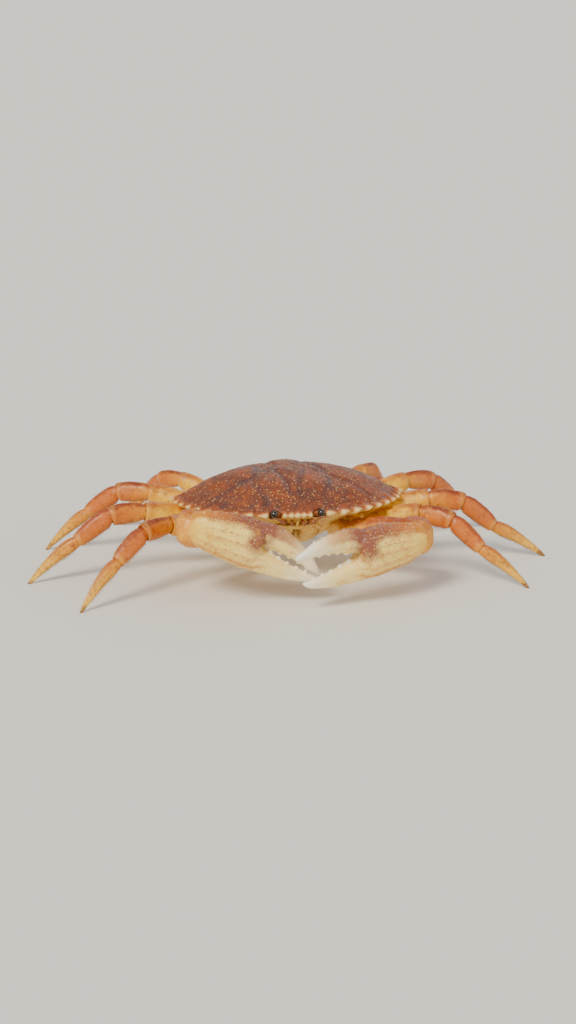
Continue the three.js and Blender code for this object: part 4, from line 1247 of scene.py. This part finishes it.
# Ridges of the outer face: [height in the section, width, height of the ridge, first, last]
PALM_RIDGES = [[0.8, 0.08, 0.7, 6, 48], [0.42, 0.08, 0.7, 8, 48], [0.05, 0.08, 0.7, 8, 50],
               [-0.36, 0.08, 0.7, 10, 52], [-0.72, 0.08, 0.65, 10, 52]]
FINGER_RIDGES = [[0.62, 0.12, 0.35, 50, 84], [-0.05, 0.2, -0.45, 50, 88], [-0.6, 0.12, 0.25, 52, 84]]
# Where the cream of the hand's outer face ends, from full to none. On the left hand it ends lower, so more of
# the face is mauve-brown: painted shade over the real mauve top
CREAM_TOP_AND_SHADE = {"right": [0.55, 1.0], "left": [0.3, 0.95]}
# Ridges rubbed tan: [height in the section, width, strength]
TAN_RIDGES = [[-0.74, 0.1, 1.0], [-0.36, 0.06, 0.6], [0.05, 0.05, 0.4]]


def spine_skin(root, direction, length, radius, sink=2.0, tip=0.22, count=12, belly=1.0):
    """Cone with a rounded point and its root sunk in what it grows from."""
    axis = unit(direction)
    up = unit(np.cross(axis, ACROSS if abs(axis[2]) > 0.9 else UP))
    side = np.cross(axis, up)
    t = np.array([-sink / length, 0, 0.3, 0.6, 0.82, 0.94, 1.0])
    size = radius * np.array([1.15, 1.1, 0.95 * belly, 0.72 * belly, 0.48, 0.3 + tip / 3, tip * 0.6])
    return skin(oval(root + axis * (t * length)[:, None], up, side, 2 * size, 2 * size, count))


def palm_rings(side):
    """Rings of the palm with the beaded ridges of its outer face."""
    return hand_rings(side, PALM, rows=90, ridges=PALM_RIDGES)


def finger_teeth(side, stations, lower, opening):
    """Blunt molar teeth along the edge of a finger that faces the other one."""
    teeth = []
    toward = 1 if lower else -1
    for k in range(TOOTH_COUNT):
        s = TOOTH_START + TOOTH_RUN * k / (TOOTH_COUNT - 1)
        middle, height = curve(stations, s), curve(stations, s, 2)
        root = hand_point(side, s, middle + toward * height / 2, 0, opening)
        aim = hand_point(side, s, middle + toward * (height / 2 + 1), 0, opening) - root
        size = (0.55 if k % 2 else 1.0) * (1 - 0.4 * k / (TOOTH_COUNT + 1))
        teeth.append(spine_skin(root, aim, 2.3 * size, 2.2 * size, sink=2.4, tip=0.75, belly=1.15))
    return teeth


def crest(side, stations, first, last, count, length, opening, radius=1.5):
    """Rows of spines along the upper edge of the hand or finger."""
    spines = []
    for k in range(count):
        s = first + (last - first) * k / (count - 1)
        top = curve(stations, s) + curve(stations, s, 2) / 2 - 0.4
        for out, scale, rise, along in CREST_ROWS:
            root = hand_point(side, s + along, top + rise, out, opening)
            aim = hand_point(side, s + 3.2, top + rise + 2, out * 1.2, opening) - root
            size = scale * (1 - 0.2 * k / count)
            spines.append(spine_skin(root, aim, length * size, radius * size))
    return spines


def claw_line(side):
    """Joints of a claw from the shoulder to the wrist, and the axes between them."""
    claw = CLAWS[side]
    joints = handed(SIDES[side], [SHOULDER, SHOULDER_END, claw["elbow"], claw["wrist"]])
    return joints, [unit(b - a) for a, b in zip(joints[:-1], joints[1:])]


def arm_specs(side):
    """What the three arm segments of a claw are made from."""
    (shoulder, hip, elbow, wrist), axes = claw_line(side)
    hip_plane, elbow_plane = mitre(axes[0], axes[1]), mitre(axes[1], axes[2])
    return {
        "base": {"from": shoulder, "to": hip, "end_plane": hip_plane, "stations": SHOULDER_SHAPE},
        "merus": {"from": hip, "to": elbow, "start_plane": hip_plane, "end_plane": elbow_plane,
                  "stations": ARM_SHAPE, "power": 2.4,
                  "ridges": [[90, 12, 0.6], [200, 12, 0.4]], "furrows": [[20, 16, 0.4]]},
        "carpus": {"from": elbow, "to": wrist, "start_plane": elbow_plane, "tip": True,
                   "stations": WRIST_SHAPE, "power": 2.6,
                   "ridges": [[60, 9, 0.6], [95, 9, 0.6], [130, 9, 0.6], [20, 9, 0.5]]},
    }


def wrist_skin(spec):
    """The carpus: a loft past the wrist with a rounded end."""
    longest = spec["stations"][-1][0]
    stretched = {**spec, "to": spec["from"] + (spec["to"] - spec["from"]) * longest,
                 "stations": [[t / longest, height, width] for t, height, width in spec["stations"]]}
    return limb_skin(stretched, 60, WRIST_COUNT)


def wrist_spines(side):
    """Strong inner spine and the knobs over the carpus."""
    (_, _, elbow, wrist), _ = claw_line(side)
    inward = -ACROSS * SIDES[side]
    inner = wrist + (elbow - wrist) * 0.6 + inward * 8 + UP * 6
    spines = [spine_skin(inner, inward + np.array([0, -0.25, 0.9]), 7, 2.6, sink=4)]
    top = wrist + (elbow - wrist) * 0.5 + UP * 10.5
    for shift in (-5, 1, 7):
        spines.append(spine_skin(top + ACROSS * shift, np.array([0, -0.5, 1]), 2.6, 1.6))
    return spines


# Stretch of each arm segment along the claw's colours
CLAW_REACH = {"base": (0, 0.12), "merus": (0.12, 0.3), "carpus": (0.3, 0.47)}
HAND_LENGTH = 93


def claw_marks(mesh, side, part, spec=None):
    """Where each point lies along the claw, how low it is on it, and its tooth and spine tips."""
    if spec is not None:
        return {**limb_marks(mesh, spec, CLAW_REACH[part]), "rim": 0, "stripe": 0}
    points, _ = mesh_points(mesh)
    opening = CLAWS[side]["open"] if part == "finger" else 0
    s, y, out = hand_place(side, points, opening)
    reach = 0.5 + 0.5 * np.clip(s / HAND_LENGTH, 0, 1)
    # Height of each point in its section, from -1 to 1, and how near it is to the finger's hinge
    whole = MOVING_FINGER if part == "finger" else PALM
    level = (y - curve(whole, s)) / (curve(whole, s, 2) / 2)
    root = bell(s - 48, 9) * bell(y - 4, 8)
    stripe = np.zeros(len(points))
    if part == "finger":
        under = 1 - ease(level, -0.1, 0.75)
    else:
        # On the left hand the mauve-brown top reaches further down the face as painted shade
        under = np.maximum(1 - ease(level, *CREAM_TOP_AND_SHADE[side]), ease(s, 50, 54))
        outer = ease(out, 1, 4) * (1 - ease(s, 50, 60)) * ease(s, 2, 10)
        stripe = outer * sum(strength * bell(level - height, width) for height, width, strength in TAN_RIDGES)
    under = np.clip(under - 0.8 * root, 0, 1)
    # How far each point stands over the finger's biting edge
    stations = MOVING_FINGER if part == "finger" else FIXED_FINGER
    toward = -1 if part == "finger" else 1
    over = toward * (y - curve(stations, s)) - curve(stations, s, 2) / 2
    rim = ease(over, 0.0, 1.2) * ease(s, 53, 57) * (1 - ease(over, 6, 8))
    return {"reach": reach, "under": under, "rim": rim, "stripe": np.clip(stripe, 0, 1)}


class CRAB_OT_claws(bpy.types.Operator):
    """Builds both claws: arm, wrist, hand and moving finger"""
    bl_idname = "crab.claws"
    bl_label = "Claws"

    def execute(self, context):
        finish = shell_finish("Claw chitin", claw_colour, grain=1.0, grain_depth=0.14, sheen=0.2)
        voxel = setting("crab_sizes").claw_grain
        membranes = []
        for side in SIDES:
            specs = arm_specs(side)
            opening = CLAWS[side]["open"]
            shapes = {
                "base": bare_mesh("base", *limb_skin(specs["base"])),
                "merus": bare_mesh("merus", *limb_skin(specs["merus"], 60, 56)),
                "carpus": fused("carpus", [wrist_skin(specs["carpus"]), *wrist_spines(side)], voxel),
                "finger": fused("finger", [
                    skin(hand_rings(side, MOVING_FINGER, opening, ridges=FINGER_RIDGES)),
                    *finger_teeth(side, MOVING_FINGER, False, opening),
                    *crest(side, MOVING_FINGER, 55, 80, 6, 1.7, opening, 1.2)], voxel),
                "palm": fused("palm", [
                    skin(palm_rings(side)),
                    skin(hand_rings(side, FIXED_FINGER, ridges=FINGER_RIDGES)),
                    *finger_teeth(side, FIXED_FINGER, True, 0),
                    *crest(side, PALM, 8, 43, 6, 2.6, 0)], voxel),
            }
            for part, mesh in shapes.items():
                roughened(mesh, (0.3, 6, 3), (0.12, 1.8, 5))
                marks = claw_marks(mesh, side, part, specs.get(part))
                name = f"claw_{side}_{part}"
                finish_piece(mesh, f"{name}_plate", finish, [name], marks)
            membranes += [membrane_skin(specs["base"], 0.9), membrane_skin(specs["merus"], 0.9)]
        mesh = bare_mesh("claw_joint_skins", *together(*membranes))
        finish_piece(mesh, "claw_joint_skins", membrane_finish())
        return {"FINISHED"}


# Face

# Places of the face on the crab's left, as (x, f, z)
EYE_STALK = [(11, 51.5, 0.5), (16.2, 57.6, 2.8)]
FEELER = [(8.6, 51, -4.5), (11.4, 61, -2.5), (21, 76, 5)]
INNER_FEELER = [(3.4, 54, -3.5), (4.6, 60.5, -5), (5.6, 63.5, -1.2)]
MOUTH_PLATE = [(7, 27, -26), (7.6, 51, -8.6)]
MOUTH_BLADE = [(13, 27, -25), (15.4, 47, -10.6)]
MOUTH_PALP = [(6, 51, -10.2), (3.4, 44, -17.4)]
MOUTH_EDGE = [(13, 50.4, -7.4), (18, 42, -13.2)]
MOUTH_RIDGE = (13.5, 50.4, -7.6)
MOUTH_COUNTS = (48, 24, 24)
# Plate over the mouth, with a step across it: [share of the length, thickness, width]
PLATE_SHAPE = [[0, 3.6, 8], [0.2, 4.8, 11.6], [0.62, 5, 12.6], [0.65, 3.6, 12], [0.7, 5, 12.4],
               [0.92, 4.4, 11], [1, 3.2, 8]]
CORNEA_RADIUS = 2.7


def rod(start, end, stations, count=20, rows=30, bow=0.0, up=UP, power=2.0):
    """Straight or bowed rod. A station is its share of the length and the rod's height and width
    there, or one number for both."""
    _, rise, side = limb_frame(start, end, up)
    t = np.linspace(0, 1, rows)
    height, width = [curve(stations, t, k) for k in (1, -1)]
    caps = np.sqrt(np.clip(np.minimum(t, 1 - t) * rows / 2, 0.12, 1))
    centre = start + (end - start) * t[:, None] + rise * (4 * bow * t * (1 - t))[:, None]
    return skin(oval(centre, rise, side, height * caps, width * caps, count, power))


class CRAB_OT_face(bpy.types.Operator):
    """Builds the eyes, the feelers and the plates over the mouth"""
    bl_idname = "crab.face"
    bl_label = "Eyes, feelers and mouth plates"

    def execute(self, context):
        belly = shell_finish("Mouth plate chitin", belly_colour, grain=0.7, grain_depth=0.06)
        eye, feeler = eye_finish(), feeler_finish()
        for side, hand in SIDES.items():
            root, tip = handed(hand, EYE_STALK)
            stalk = bare_mesh("stalk", *rod(root, tip, [[0, 4.4], [0.45, 3.8], [0.8, 4.2], [1, 4.6]]))
            finish_piece(stalk, f"eye_stalk_{side}", feeler)
            cornea = bare_mesh("cornea", *ball(tip + unit(tip - root) * 0.4, (CORNEA_RADIUS,) * 3, 40, 56))
            finish_piece(cornea, f"eye_cornea_{side}", eye, [f"eye_{side}"])
            feelers = bare_mesh("feelers", *together(*feeler_skins(hand)))
            finish_piece(feelers, f"feeler_{side}", feeler, [f"antenna_{side}"])
            cover = fused("mouth_cover", mouth_skins(hand), 0.35, 2)
            finish_piece(cover, f"mouth_cover_{side}", belly, [f"mouth_plate_{side}"])
        finish_piece(fused("mouth_frame", mouth_frame_skins(), 0.4), "mouth_frame", belly)
        return {"FINISHED"}


def feeler_skins(hand):
    """Long outer feeler and the short folded inner one of one side."""
    root, knee, tip = handed(hand, FEELER)
    foot = rod(root, knee, [[0, 4.6], [0.5, 4.2], [0.52, 3.7], [0.8, 3.4], [1, 2.8]])
    whip = rod(knee + (root - knee) * 0.15, tip, [[0, 2.2], [0.3, 1.6], [0.65, 1.0], [1, 0.5]], 14, 60, 1.5)
    root, knee, tip = handed(hand, INNER_FEELER)
    inner = rod(root, knee, [[0, 2.6], [0.5, 2.4], [1, 1.8]], 14)
    hook = rod(knee, tip, [[0, 1.8], [0.5, 1.6], [1, 0.6]], 12, bow=0.6)
    return [foot, whip, inner, hook]


def mouth_frame_skins():
    """Raised ridge over the mouth, its two side ridges and the small keel between the inner feelers."""
    flat = at(0, 1, -0.8) - at(0, 0, 0)
    ends = [handed(hand, [MOUTH_RIDGE])[0] for hand in SIDES.values()]
    over = [[0, 1.6, 2], [0.2, 2.4, 3], [0.5, 3, 4], [0.8, 2.4, 3], [1, 1.6, 2]]
    edge = [[0, 2, 2.4], [0.4, 2.4, 3], [1, 1.4, 2]]
    return [rod(*ends, over, up=flat, rows=60, bow=1.6),
            rod(at(0, 57.5, -3), at(0, 52, -8), [[0, 1.2, 1.6], [0.5, 2, 2.4], [1, 2, 3]], up=ACROSS),
            *[rod(*handed(hand, MOUTH_EDGE), edge, up=flat, bow=0.6) for hand in SIDES.values()]]


def mouth_skins(hand):
    """Plate, side blade and palp of one mouth cover."""
    up = at(0, 1, -1.35) - at(0, 0, 0)
    plate, blade, palp = MOUTH_COUNTS
    return [rod(*handed(hand, MOUTH_PLATE), PLATE_SHAPE, plate, 80, up=up, power=3.4),
            rod(*handed(hand, MOUTH_BLADE), [[0, 3, 3.4], [0.5, 3.6, 4], [1, 2.4, 2.4]], blade, up=up),
            rod(*handed(hand, MOUTH_PALP), [[0, 3.4, 3.4], [0.5, 3.6, 3.4], [1, 1.8, 1.8]], palp, up=up)]


# Bristles and granules

# Bristles for each square millimetre, length and width in millimetres, and how far they lean
BRISTLES = {
    "leg": {"Density": 2.6 / MM**2, "Length": 2.3 * MM, "Width": 0.07 * MM, "Lean": 0.9, "Seed": 3},
    "flank": {"Density": 1.3 / MM**2, "Length": 1.3 * MM, "Width": 0.06 * MM, "Lean": 0.8, "Seed": 5},
    "mouth": {"Density": 3.0 / MM**2, "Length": 2.6 * MM, "Width": 0.07 * MM, "Lean": 0.8, "Seed": 7},
}
GRANULES = {"Spacing": 1.3 * MM, "Density": 0.75 / MM**2, "Radius": 0.42 * MM, "Seed": 11}
CLAW_GRANULES = {"Spacing": 1.7 * MM, "Density": 0.5 / MM**2, "Radius": 0.5 * MM, "Seed": 13}
BEADS = {"palm": {"Spacing": 1.9 * MM, "Radius": 0.62 * MM, "Stray": 0.3 * MM},
         "leg": {"Spacing": 1.8 * MM, "Radius": 0.36 * MM, "Stray": 0.35 * MM}}
LEG_FRINGE = {"merus": 0.35, "carpus": 0.45, "propodus": 0.8, "dactyl": 1.0}
# Rings and points a ring of the plainer skins that bristles grow on, and finer steps of the back's edge
FRINGE_ROWS, FRINGE_COUNT = 24, 40
GROWTH_ROWS, GROWTH_STEPS = 40, 3
# The first and last of a leg segment's rings with beads
BEADED_RINGS = (11, 43)


def leg_fringe_marks(spec):
    """Marks for bristles along the lower and upper edges of one segment, clear of the floor."""
    axis, rise, _ = limb_frame(spec["from"], spec["to"], spec["up"])
    length = np.linalg.norm(spec["to"] - spec["from"])
    upper = 0.5 if spec["part"] in ("propodus", "dactyl") else 0

    def marks(points, normals):
        t = (points - spec["from"]) @ axis / length
        run = ease(t, 0.08, 0.2) * (1 - ease(t, 0.84, 0.93)) * ease(points[:, 2], 3, 7)
        level = normals @ rise
        edges = ease(-level, 0.82, 0.97) + upper * ease(level, 0.88, 0.98)
        return LEG_FRINGE[spec["part"]] * run * edges, np.broadcast_to(axis, points.shape)

    return marks


def flank_marks(points, normals):
    """Marks for the down on the flanks beside the mouth."""
    x, f = points[:, 0], -points[:, 1]
    angle = np.arctan2(x, f)
    level = points[:, 2] - MARGIN_HEIGHT
    band = ease(-level, 2.2, 4.5) * (1 - ease(-level, 10, 12)) * ease(np.cos(angle), -0.45, -0.1)
    inward = np.stack([-np.sin(angle), np.cos(angle), np.full(len(x), 0.6)], -1)
    return band * (1 - ease(normals[:, 2], -0.25, 0.05)), inward


def mouth_marks(hand):
    """Marks for the fringes along both edges of a mouth cover."""
    def marks(points, normals):
        across = np.abs(points[:, 0])
        edges = 1 - ease(across, 1.8, 4.2) + 0.4 * ease(across, 13, 16)
        return edges, np.broadcast_to(np.array([-0.3 * hand, -0.4, -0.8]), points.shape)

    return marks


def back_granule_marks(points, normals):
    """Granules cover the back and thin out into its grooves and towards the middle."""
    x, f = points[:, 0], -points[:, 1]
    share = np.hypot(x, f) / outline(np.arctan2(x, f))
    cover = (0.45 + 0.55 * ease(share, 0.2, 0.8)) * (1 - 0.8 * groove_share(x, f, 2.0))
    return ease(normals[:, 2], 0.35, 0.6) * cover * (1 - ease(share, 0.96, 0.99)), 0 * points


def wrist_granule_marks(spec):
    """Granules cover the upper side of the wrist."""
    axis, rise, _ = limb_frame(spec["from"], spec["to"], UP)
    length = np.linalg.norm(spec["to"] - spec["from"])

    def marks(points, normals):
        t = (points - spec["from"]) @ axis / length
        upper = ease(normals @ rise, -0.75, 0.2)
        return upper * ease(t, 0.12, 0.25) * (1 - ease(t, 1.1, 1.16)), 0 * points

    return marks


def palm_granule_marks(side):
    """Granules cover the top of the hand and thin out down its outer face."""
    def marks(points, normals):
        s, y, out = hand_place(side, points)
        level = (y - curve(PALM, s)) / (curve(PALM, s, 2) / 2)
        cover = 0.12 * ease(out, 1, 4) + 0.88 * ease(level, 0.45, 0.85)
        return cover * ease(s, 5, 9) * (1 - ease(s, 44, 47)), 0 * points

    return marks


def leg_bead_lines(spec):
    """Lines of granules along the upper ridges of a leg segment."""
    points, _ = limb_skin(spec)
    rings = points[:-2].reshape(-1, LEG_COUNT, 3)
    return [rings[slice(*BEADED_RINGS), round(angle / 360 * LEG_COUNT)]
            for angle, _, _ in spec["ridges"] if angle < 180]


def palm_bead_lines(side):
    """Lines of granules along the raised ridges of the hand's outer face."""
    rings = palm_rings(side)
    s = np.linspace(PALM[0][0], PALM[-1][0], len(rings))
    turns = [round(math.asin(place) / (2 * math.pi) * rings.shape[1]) for place, *_ in PALM_RIDGES]
    return [rings[(s > first + 3) & (s < last - 5), turn]
            for turn, (_, _, _, first, last) in zip(turns, PALM_RIDGES)]


class CRAB_OT_trimmings(bpy.types.Operator):
    """Grows the bristles and the granules"""
    bl_idname = "crab.trimmings"
    bl_label = "Bristles and granules"

    def execute(self, context):
        # Bare chitin bristles, brown at the root and straw-coloured where light shines through
        hair = small_part_finish("Bristle chitin", "#6E4320", "#B58246", 2, 0.55)
        # Granules are thicker shell, rubbed paler and smoother than the shell between them
        pale = small_part_finish("Bead chitin", "#C07A34", "#F0C67C", 3, 0.4)
        tan = small_part_finish("Claw granule chitin", "#A45412", "#DE9C48", 5, 0.42)
        brown = small_part_finish("Back granule chitin", "#6E3E2A", "#B0601E", 6, 0.42)
        bristles, rows, granules = bristle_tree(), bead_row_tree(), granule_tree()
        for side, hand in SIDES.items():
            specs = [spec for leg in LEGS for spec in leg_specs(leg, side) if spec["part"] != "base"]
            fringed = [(*limb_skin(spec, FRINGE_ROWS, FRINGE_COUNT), FRINGE_COUNT, leg_fringe_marks(spec))
                       for spec in specs]
            covers = [(*cover, count, mouth_marks(hand))
                      for cover, count in zip(mouth_skins(hand), MOUTH_COUNTS)]
            wrist = arm_specs(side)["carpus"]
            rough_parts = [(*wrist_skin(wrist), WRIST_COUNT, wrist_granule_marks(wrist)),
                           (*skin(palm_rings(side)), HAND_COUNT, palm_granule_marks(side))]
            ridges = [line for spec in specs if spec["part"] != "dactyl" for line in leg_bead_lines(spec)]
            grow = [
                ("leg_bristles", growth_mesh(fringed), bristles, BRISTLES["leg"], hair, "shin"),
                ("mouth_bristles", growth_mesh(covers), bristles, BRISTLES["mouth"], hair, "underside"),
                ("palm_beads", line_mesh(palm_bead_lines(side)), rows, BEADS["palm"], pale, "hand"),
                ("claw_granules", growth_mesh(rough_parts), granules, CLAW_GRANULES, tan, "arm"),
                ("leg_beads", line_mesh(ridges), rows, BEADS["leg"], pale, "shin"),
            ]
            for name, mesh, tree, sizes, finish, slot in grow:
                mesh = grown(name, mesh, tree, {**sizes, "Material": finish})
                finish_piece(mesh, f"{name}_{side}", finish)
        back = (*carapace_skin(GROWTH_ROWS, GROWTH_STEPS), len(edge_line(GROWTH_STEPS)))
        for name, marks_of, tree, sizes, finish in (
                ("flank_bristles", flank_marks, bristles, BRISTLES["flank"], hair),
                ("back_granules", back_granule_marks, granules, GRANULES, brown)):
            mesh = grown(name, growth_mesh([(*back, marks_of)]), tree, {**sizes, "Material": finish})
            finish_piece(mesh, name, finish)
        return {"FINISHED"}


# Studio

# Name, direction from the crab, softness in degrees, colour and strength
STUDIO_LIGHTS = [["key", (-0.8, -0.9, 1.25), 20, "#FFF4E0", 3.0],
                 ["fill", (1.3, -0.9, 0.7), 45, "#F6F6FF", 0.5],
                 ["back", (0.6, 1.2, 1.1), 40, "#FFFFFF", 0.35]]
# Strength of the light from low down and from above, and the height at which it changes
BACKDROP_GLOW, SKY_GLOW, GLOW_HEIGHT = 1.15, 0.6, 0.35
FLOOR_WIDTH = 80
# Width of the picture against the crab's, and the picture's size
FRAME_MARGIN = 1.1
PICTURE_WIDTH, PICTURE_HEIGHT = 576, 1024


def look_at(thing, point):
    """Turns a lamp or camera to face a point."""
    back = Vector(np.array(thing.location) - np.asarray(point))
    thing.rotation_euler = back.to_track_quat("Z", "Y").to_euler()


class CRAB_OT_studio(bpy.types.Operator):
    """Lays the pale floor, soft lights and the camera"""
    bl_idname = "crab.studio"
    bl_label = "Studio"

    def execute(self, context):
        sizes = setting("crab_sizes")
        bpy.ops.mesh.primitive_plane_add(size=FLOOR_WIDTH)
        floor = context.object
        floor.name = "studio_floor"
        floor.data.materials.append(floor_finish())
        floor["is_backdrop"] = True
        low, high = [np.array(corner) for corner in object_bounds()]
        middle = (low + high) / 2
        for name, place, softness, colour, strength in STUDIO_LIGHTS:
            light = bpy.data.lights.new(name, "SUN")
            light.angle = math.radians(softness)
            light.color = linear(colour)[:3]
            light.energy = strength
            lamp = bpy.data.objects.new(name, light)
            context.collection.objects.link(lamp)
            lamp.location = middle + np.array(place)
            look_at(lamp, middle)
        # The light from all round is brightest low down, as from a pale backdrop
        world = bpy.data.worlds.new("Studio light")
        world.use_nodes = True
        sky = world.node_tree.nodes["Background"]
        sky.inputs["Color"].default_value = linear("#F4F3F0")
        height = add(world.node_tree, "ShaderNodeSeparateXYZ",
                     {0: add(world.node_tree, "ShaderNodeTexCoord", out="Generated")}, "Z")
        glow = add(world.node_tree, "ShaderNodeMapRange", {
            "Value": height, "From Min": 0.0, "From Max": GLOW_HEIGHT, "To Min": BACKDROP_GLOW,
            "To Max": SKY_GLOW})
        world.node_tree.links.new(glow, sky.inputs["Strength"])
        context.scene.world = world
        camera = bpy.data.objects.new("Camera", bpy.data.cameras.new("Camera"))
        context.collection.objects.link(camera)
        turn, rise = sizes.camera_turn, sizes.camera_rise
        back = np.array([math.sin(turn) * math.cos(rise), -math.cos(turn) * math.cos(rise), math.sin(rise)])
        camera.location = middle + back * sizes.camera_distance
        look_at(camera, middle)
        # The lens is measured along the longer side of the picture, which is its height
        tall = (high[0] - low[0]) * FRAME_MARGIN * PICTURE_HEIGHT / PICTURE_WIDTH
        camera.data.lens = camera.data.sensor_width * sizes.camera_distance / tall
        context.scene.camera = camera
        return {"FINISHED"}


# Add-on

class CrabSizes(bpy.types.PropertyGroup):
    """Sizes that can be changed"""
    claw_grain: bpy.props.FloatProperty(
        name="Claw grain", description="Finest step of the claw's skin, in millimetres", default=0.42,
        min=0.3)
    camera_distance: bpy.props.FloatProperty(
        name="Camera distance", description="From the camera to the crab's middle", default=1.64,
        unit="LENGTH")
    camera_turn: bpy.props.FloatProperty(
        name="Camera turn", description="Turn of the camera round the crab from its front", subtype="ANGLE",
        default=math.radians(-8))
    camera_rise: bpy.props.FloatProperty(
        name="Camera rise", description="Height of the camera as an angle above the floor", subtype="ANGLE",
        default=math.radians(17))


class CrabColours(bpy.types.PropertyGroup):
    """Colours that can be changed"""
    shell: bpy.props.FloatVectorProperty(
        name="Back shell", description="Brown-orange of the back", subtype="COLOR", size=4,
        default=linear("#7E3602"))
    shell_dark: bpy.props.FloatVectorProperty(
        name="Back shell, dark", description="Purple-grey blotches of the back", subtype="COLOR", size=4,
        default=linear("#4E2C2A"))
    belly: bpy.props.FloatVectorProperty(
        name="Underside", description="Cream of the underside", subtype="COLOR", size=4,
        default=linear("#F4CE66"))
    leg_stain: bpy.props.FloatVectorProperty(
        name="Leg stain", description="Red-brown blotches of the legs", subtype="COLOR", size=4,
        default=linear("#983600"))
    claw_stain: bpy.props.FloatVectorProperty(
        name="Claw stain", description="Mauve-tan blotches of the claws", subtype="COLOR", size=4,
        default=linear("#D28C28"))


class CRAB_PT_panel(bpy.types.Panel):
    """Sizes, colours and steps of the crab"""
    bl_idname = "CRAB_PT_panel"
    bl_label = "Dungeness crab"
    bl_space_type = "VIEW_3D"
    bl_region_type = "UI"
    bl_category = "Crab"

    def draw(self, context):
        for group in ("crab_sizes", "crab_colours"):
            values = setting(group)
            for name in values.__annotations__:
                self.layout.prop(values, name)
        for step in STEPS:
            self.layout.operator(step.bl_idname)


STEPS = [CRAB_OT_back_shell, CRAB_OT_underside, CRAB_OT_legs, CRAB_OT_claws, CRAB_OT_face, CRAB_OT_trimmings,
         CRAB_OT_studio]
GROUPS = [CrabSizes, CrabColours]


def register():
    """Adds the settings, steps and panel to Blender."""
    for kind in [*GROUPS, *STEPS, CRAB_PT_panel]:
        bpy.utils.register_class(kind)
    bpy.types.Scene.crab_sizes = bpy.props.PointerProperty(type=CrabSizes)
    bpy.types.Scene.crab_colours = bpy.props.PointerProperty(type=CrabColours)


def unregister():
    """Takes them out again."""
    del bpy.types.Scene.crab_colours
    del bpy.types.Scene.crab_sizes
    for kind in reversed([*GROUPS, *STEPS, CRAB_PT_panel]):
        bpy.utils.unregister_class(kind)


def main():
    """Builds the crab and its studio."""
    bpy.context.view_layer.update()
    register()
    bpy.ops.crab.back_shell()
    bpy.ops.crab.underside()
    bpy.ops.crab.legs()
    bpy.ops.crab.claws()
    bpy.ops.crab.face()
    bpy.ops.crab.trimmings()
    bpy.ops.crab.studio()


if __name__ == "__main__":
    main()
